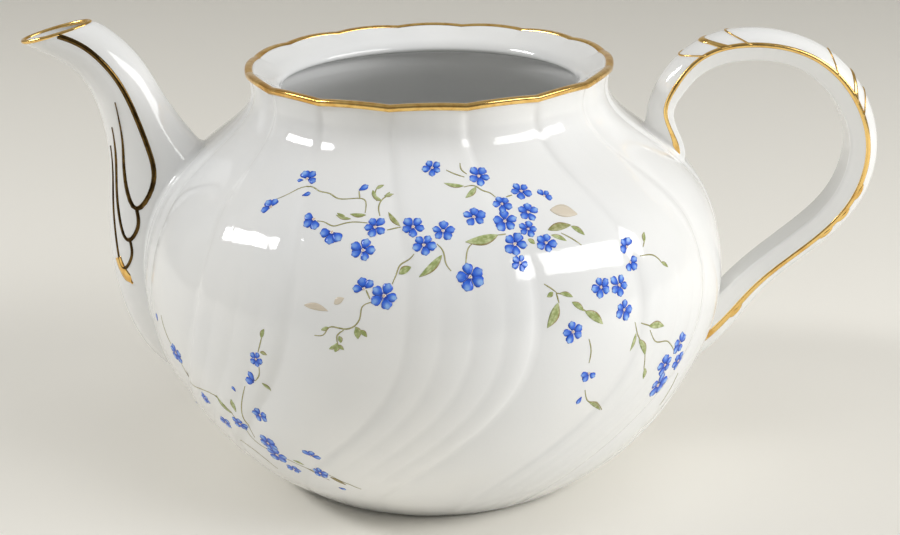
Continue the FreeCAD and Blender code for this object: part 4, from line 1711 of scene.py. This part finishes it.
@dataclass(frozen=True)
class FlowerEnamel(Finish):
    """Blue enamel of the petals: a dark outline, a royal ground, sky streaks, and a pale heart."""

    outline: Colour = srgb(24, 52, 162)
    ground: Colour = srgb(56, 110, 228)
    streak: Colour = srgb(150, 192, 250)
    heart: Colour = srgb(244, 234, 222)
    eye: Colour = srgb(214, 164, 130)
    grain: Range = (1500.0, 2.0)
    streak_sides: Range = (0.1, 0.75)
    streak_run: Range = (0.3, 0.75)
    mood_share: float = 0.7
    rim_sides: Range = (0.76, 0.98)
    rim_tip: Range = (0.9, 1.0)
    rim_root: Range = (0.1, 0.34)
    rim_share: float = 0.78
    eye_edge: Range = (0.2, 0.45)

    def colour(self, nodes: Nodes, mottle: Socket) -> Socket:
        """Mix a petal's colour by its place along and across, its mood and the heart mask.

        Args:
            nodes: the material's nodes.
            mottle: the skin's mottle; not used.

        Returns:
            The socket of the colour.
        """
        along = nodes.attribute("along")
        side = nodes.math("ABSOLUTE", nodes.attribute("across"))
        mood = nodes.times(nodes.attribute("mood"), self.mood_share)
        lit = nodes.times(nodes.step(along, self.streak_run), nodes.fall(side, self.streak_sides))
        lit = nodes.times(lit, nodes.math("ADD", mood, nodes.noise(*self.grain)), clamp=True)
        petal = nodes.mix(lit, self.ground, self.streak)
        rim = nodes.math("MAXIMUM", nodes.step(side, self.rim_sides), nodes.step(along, self.rim_tip))
        rim = nodes.math("MAXIMUM", rim, nodes.fall(along, self.rim_root))
        petal = nodes.mix(nodes.times(rim, self.rim_share), petal, self.outline)
        off_middle = nodes.math("ABSOLUTE", nodes.math("SUBTRACT", along, 0.5))
        ring = nodes.math("MAXIMUM", side, off_middle)
        centre = nodes.mix(nodes.step(ring, self.eye_edge), self.eye, self.heart)
        return nodes.mix(nodes.attribute("heart"), petal, centre)


@dataclass(frozen=True)
class LeafEnamel(Finish):
    """Olive enamel of the leaves and stems: a pale blade, a dark midrib, a brown edge, worn tan remains."""

    olive: Colour = srgb(152, 166, 100)
    pale: Colour = srgb(204, 212, 162)
    brown: Colour = srgb(146, 116, 72)
    tan: Colour = srgb(228, 217, 198)
    grain: Range = (900.0, 3.0)
    grain_bounds: Range = (0.35, 0.68)
    rib_sides: Range = (0.04, 0.2)
    rib_share: float = 0.6
    edge_sides: Range = (0.5, 0.95)
    edge_share: float = 0.8
    brown_tints: Range = (0.2, 1.0)
    tan_tints: Range = (1.0, 2.0)

    def colour(self, nodes: Nodes, mottle: Socket) -> Socket:
        """Mix a leaf's colour by its place across the blade and its tint.

        Args:
            nodes: the material's nodes.
            mottle: the skin's mottle; not used.

        Returns:
            The socket of the colour.
        """
        across = nodes.attribute("across")
        tint = nodes.attribute("tint")
        blade = nodes.mix(nodes.step(nodes.noise(*self.grain), self.grain_bounds), self.olive, self.pale)
        rib = nodes.fall(nodes.math("ABSOLUTE", across), self.rib_sides)
        blade = nodes.mix(nodes.times(rib, self.rib_share), blade, self.olive)
        edge = nodes.step(across, self.edge_sides)
        blade = nodes.mix(nodes.times(edge, self.edge_share), blade, self.brown)
        blade = nodes.mix(nodes.step(tint, self.brown_tints), blade, self.brown)
        return nodes.mix(nodes.step(tint, self.tan_tints), blade, self.tan)


@dataclass(frozen=True)
class Softbox:
    """An area lamp a metre from the pot.

    toward is the way from the pot to the lamp, size its width and height in metres, roll its turn about that
    way, power its watts, spread the angle of its beam, and mirrored whether the glaze reflects it.
    """

    name: str
    toward: tuple[float, float, float]
    size: tuple[float, float]
    power: float
    roll: float = 0.0
    spread: float = 180.0
    mirrored: bool = True
    aim_height: float = 0.07

    def add(self) -> None:
        """Add the lamp to the scene."""
        data = bpy.data.lights.new(self.name, "AREA")
        data.shape = "RECTANGLE"
        data.size, data.size_y = self.size
        data.energy = self.power
        data.spread = math.radians(self.spread)
        lamp = link(self.name, data)
        lamp.visible_glossy = self.mirrored
        aim = Vector(self.toward).normalized()
        lamp.location = Vector(pot_axis() * MM) + Vector((0.0, 0.0, self.aim_height)) + aim
        upright = aim.to_track_quat("Z", "Y").to_matrix()
        lamp.rotation_euler = (upright @ Matrix.Rotation(math.radians(self.roll), 3, "Z")).to_euler()


@dataclass(frozen=True)
class Studio:
    """The pale sweep, two softboxes, two fills and a soft world that is dimmer on the camera's side.

    The sweep's sizes are metres from the pot axis.
    """

    camera: PhotoCamera
    lamps: tuple[Softbox, ...] = (
        Softbox("right_softbox", (0.79, -0.35, 0.503), (0.94, 0.3), power=4.7, roll=-19.5),
        Softbox("left_softbox", (-0.82, -0.01, 0.55), (0.36, 0.15), power=3.5, roll=32.0),
        Softbox("low_fill", (0.96, -0.17, 0.24), (0.5, 0.25), power=0.46, spread=90.0, mirrored=False),
        Softbox("top_fill", (0.25, -0.2, 0.95), (0.5, 0.5), power=1.1, mirrored=False),
    )
    half_width: float = 3.0
    front: float = 2.0
    bend_start: float = 0.7
    bend_radius: float = 0.6
    bend_steps: int = 16
    wall_top: float = 2.6
    columns: int = 5
    floor: Colour = srgb(248, 245, 237)
    floor_roughness: float = 0.75
    bright_side: Colour = srgb(238, 238, 236)
    dim_side: Colour = srgb(162, 162, 162)
    left_lean: float = -0.5
    world_bounds: Range = (-0.6, 0.8)
    world_strength: float = 0.46

    def sweep(self) -> None:
        """Add the floor: flat under the pot, rising behind it in a quarter curve."""
        across = np.linspace(-self.half_width, self.half_width, self.columns)
        turn = np.linspace(0.0, 0.5 * math.pi, self.bend_steps)[1:]
        back = self.bend_start + self.bend_radius * np.sin(turn)
        rise = self.bend_radius - self.bend_radius * np.cos(turn)
        along = np.concatenate([[-self.front, 0.0, self.bend_start], back, back[-1:]])
        height = np.concatenate([[0.0, 0.0, 0.0], rise, [self.wall_top]])
        points = np.stack(np.broadcast_arrays(across, along[:, None], height[:, None]), axis=-1) / MM
        mesh = Surface.grid(points).mesh("studio_floor")
        floor = link("studio_floor", mesh)
        material = bpy.data.materials.new("floor_paper")
        material.use_nodes = True
        shader = material.node_tree.nodes["Principled BSDF"]
        shader.inputs["Base Color"].default_value = self.floor
        shader.inputs["Roughness"].default_value = self.floor_roughness
        mesh.materials.append(material)
        floor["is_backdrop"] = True

    def surroundings(self) -> None:
        """Add the world: bright overhead, behind the pot and at its left, and dim on the camera's side."""
        world = bpy.data.worlds.new("soft_world")
        bpy.context.scene.world = world
        world.use_nodes = True
        nodes = Nodes(world.node_tree)
        place = nodes.add("ShaderNodeTexCoord").outputs["Generated"]
        toward = nodes.add("ShaderNodeSeparateXYZ", Vector=place).outputs
        left = nodes.times(toward["X"], self.left_lean)
        behind = nodes.math("ADD", toward["Y"], toward["Z"])
        share = nodes.step(nodes.math("ADD", behind, left), self.world_bounds)
        back = world.node_tree.nodes["Background"]
        back.inputs["Strength"].default_value = self.world_strength
        world.node_tree.links.new(nodes.mix(share, self.dim_side, self.bright_side), back.inputs["Color"])

    def add(self) -> None:
        """Add the floor, the lamps, the world and the camera."""
        self.sweep()
        for lamp in self.lamps:
            lamp.add()
        self.surroundings()
        bpy.context.scene.view_settings.view_transform = "Standard"
        self.camera.add()


@dataclass(frozen=True)
class Teapot:
    """The whole teapot: castings, slip fillets, gilding and transfers.

    A cuff's lines have a place along the handle and a width. A tongue has a width and its line on the flank.
    """

    form: PotForm
    camera: PhotoCamera
    thumb_cuff: tuple[tuple[str, float, float], ...] = (
        ("near_line", 36.7, 1.0), ("band", 42.9, 3.4), ("far_line", 49.0, 1.0),
    )
    brow_cuff: tuple[tuple[str, float, float], ...] = (
        ("near_line", 74.4, 0.9), ("band", 82.6, 3.2), ("far_line", 87.6, 0.9),
    )
    leaf_places: tuple[float, ...] = (108.5, 116.0, 122.6, 155.3)
    drop: Outline = ((2.66, -0.86), (2.4, -0.81), (2.1, -0.7))
    drop_width: float = 3.4
    tongues: tuple[tuple[str, float, Outline], ...] = (
        ("upper", 1.5, (
            (7.95, 0.14), (7.62, 0.17), (6.46, 0.18), (5.2, 0.2), (4.2, 0.12),
            (3.5, -0.1), (3.32, -0.4), (3.58, -0.54), (4.53, -0.45), (5.44, -0.22),
        )),
        ("middle", 1.25, (
            (3.36, -0.41), (3.2, -0.4), (3.04, -0.43), (2.89, -0.59), (3.24, -0.74), (3.9, -0.78),
            (4.9, -0.63),
        )),
        ("lower", 1.05, (
            (2.93, -0.6), (2.76, -0.59), (2.56, -0.63), (2.43, -0.75), (2.84, -0.84), (3.5, -0.87),
            (4.5, -0.85),
        )),
    )

    def castings(self, glaze: Material) -> None:
        """Add the body, the spout, the handle and their slip fillets.

        Args:
            glaze: the finish of the porcelain.
        """
        spout = Spout(self.form)
        handle = Handle(self.form)
        joint = Joint(self.form)
        pieces = {
            "pot_body_glazed": (PotBody(self.form).mesh("pot_body_glazed"), "pot_body"),
            "spout_glazed": (spout.surface(), "spout"),
            "handle_glazed": (handle.surface(), "handle"),
            "spout_luting_fillet": (spout.fillet(joint), "spout_luting_slip"),
            "handle_upper_luting_fillet": (handle.fillet(joint, True), "handle_upper_luting_slip"),
            "handle_lower_luting_fillet": (handle.fillet(joint, False), "handle_lower_luting_slip"),
        }
        for name, (shape, node) in pieces.items():
            add_piece(name, shape, glaze, Slot.PORCELAIN, node)

    def gilding(self, gold: Material, shade_painted_gold: Material) -> None:
        """Add the gilt rim, lip, edges, cuffs, leaves and drops, and the gilt tongues, whose gold is darkened
        as painted shade.

        Args:
            gold: the finish of most of the gilding.
            shade_painted_gold: the finish of the tongues, a darker copy of the gilding that paints in the dark
                reflection their gold shows.
        """
        spout = Spout(self.form)
        handle = Handle(self.form)
        pieces = {
            "rim_gilding": RimGilding(self.form).surface(),
            "spout_lip_gilding": spout.lip_ring(),
            "handle_front_edge_gilding": handle.edge(True),
            "handle_back_edge_gilding": handle.edge(False),
        }
        for cuff, lines in (("thumb", self.thumb_cuff), ("brow", self.brow_cuff)):
            for line, place, width in lines:
                pieces[f"handle_{cuff}_cuff_{line}"] = handle.cuff(place, width)
        for node, surface in pieces.items():
            add_piece(f"{node}_fired", surface, gold, Slot.GILDING, node)
        # The tongues take the darker copy of the gilding: painted shade standing in for the dark reflection in
        # their gold.
        for side in Side:
            for tongue, width, line in self.tongues:
                node = f"spout_{side.name.lower()}_{tongue}_tongue"
                add_piece(f"{node}_fired", spout.ribbon(line, width, side), shade_painted_gold, Slot.GILDING, node)
        leaves = Surface.joined(handle.leaf(place) for place in self.leaf_places)
        add_piece("handle_gilt_leaves", leaves, gold, Slot.GILDING)
        drops = Surface.joined(spout.ribbon(self.drop, self.drop_width, side) for side in Side)
        add_piece("spout_gilt_drops", drops, gold, Slot.GILDING)

    def transfers(self, flower: Material, leaf: Material) -> None:
        """Add the petals, leaves and stems to both faces.

        Args:
            flower: the finish of the petals.
            leaf: the finish of the leaves and stems.
        """
        made = Transfers(self.form, self.camera)
        sheets = {
            "petals": (made.petals(), flower, Slot.FLOWER_ENAMEL),
            "leaves": (made.leaves(), leaf, Slot.LEAF_ENAMEL),
            "stems": (made.stems(), leaf, Slot.LEAF_ENAMEL),
        }
        for side in Side:
            for kind, (surface, material, slot) in sheets.items():
                add_piece(f"{side.name.lower()}_{kind}", surface.turned(side.value[0]), material, slot)


def write_sizes() -> None:
    """Gather the CAD box and the visual model's box as plain lists, in metres; they are neither written nor
    kept.
    """
    boxes = {"cad": CAD_BOUNDS, "visual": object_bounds()}
    plain = {name: [list(map(float, corner)) for corner in box] for name, box in boxes.items()}


def main() -> None:
    """Build the teapot, its finishes and the studio."""
    logging.basicConfig(level=logging.INFO, format="%(name)s %(message)s")
    camera = PhotoCamera()
    teapot = Teapot(PotForm(), camera)
    glaze = Porcelain("white_glaze", roughness=(0.05, 0.1), ripple=1.0, pits=0.03, coat=0.3)
    gold = Gold("burnished_gilding", roughness=(0.1, 0.24), ripple=0.6, pits=0.08, metallic=1.0)
    # Painted shade: the same gilding with darker golds, standing in for the dark reflection of the camera's
    # side in the tongues.
    shade_painted_gold = Gold(
        "shade_painted_gilding", roughness=(0.12, 0.28), ripple=0.6, pits=0.08, metallic=1.0,
        bright=srgb(108, 84, 44), rubbed=srgb(60, 44, 20),
    )
    flower = FlowerEnamel("blue_flower_enamel", roughness=(0.14, 0.3), ripple=0.5, pits=0.1)
    leaf = LeafEnamel("olive_leaf_enamel", roughness=(0.16, 0.32), ripple=0.5, pits=0.1)
    teapot.castings(glaze.material())
    teapot.gilding(gold.material(), shade_painted_gold.material())
    teapot.transfers(flower.material(), leaf.material())
    Studio(camera).add()
    write_sizes()


if __name__ == "__main__":
    main()
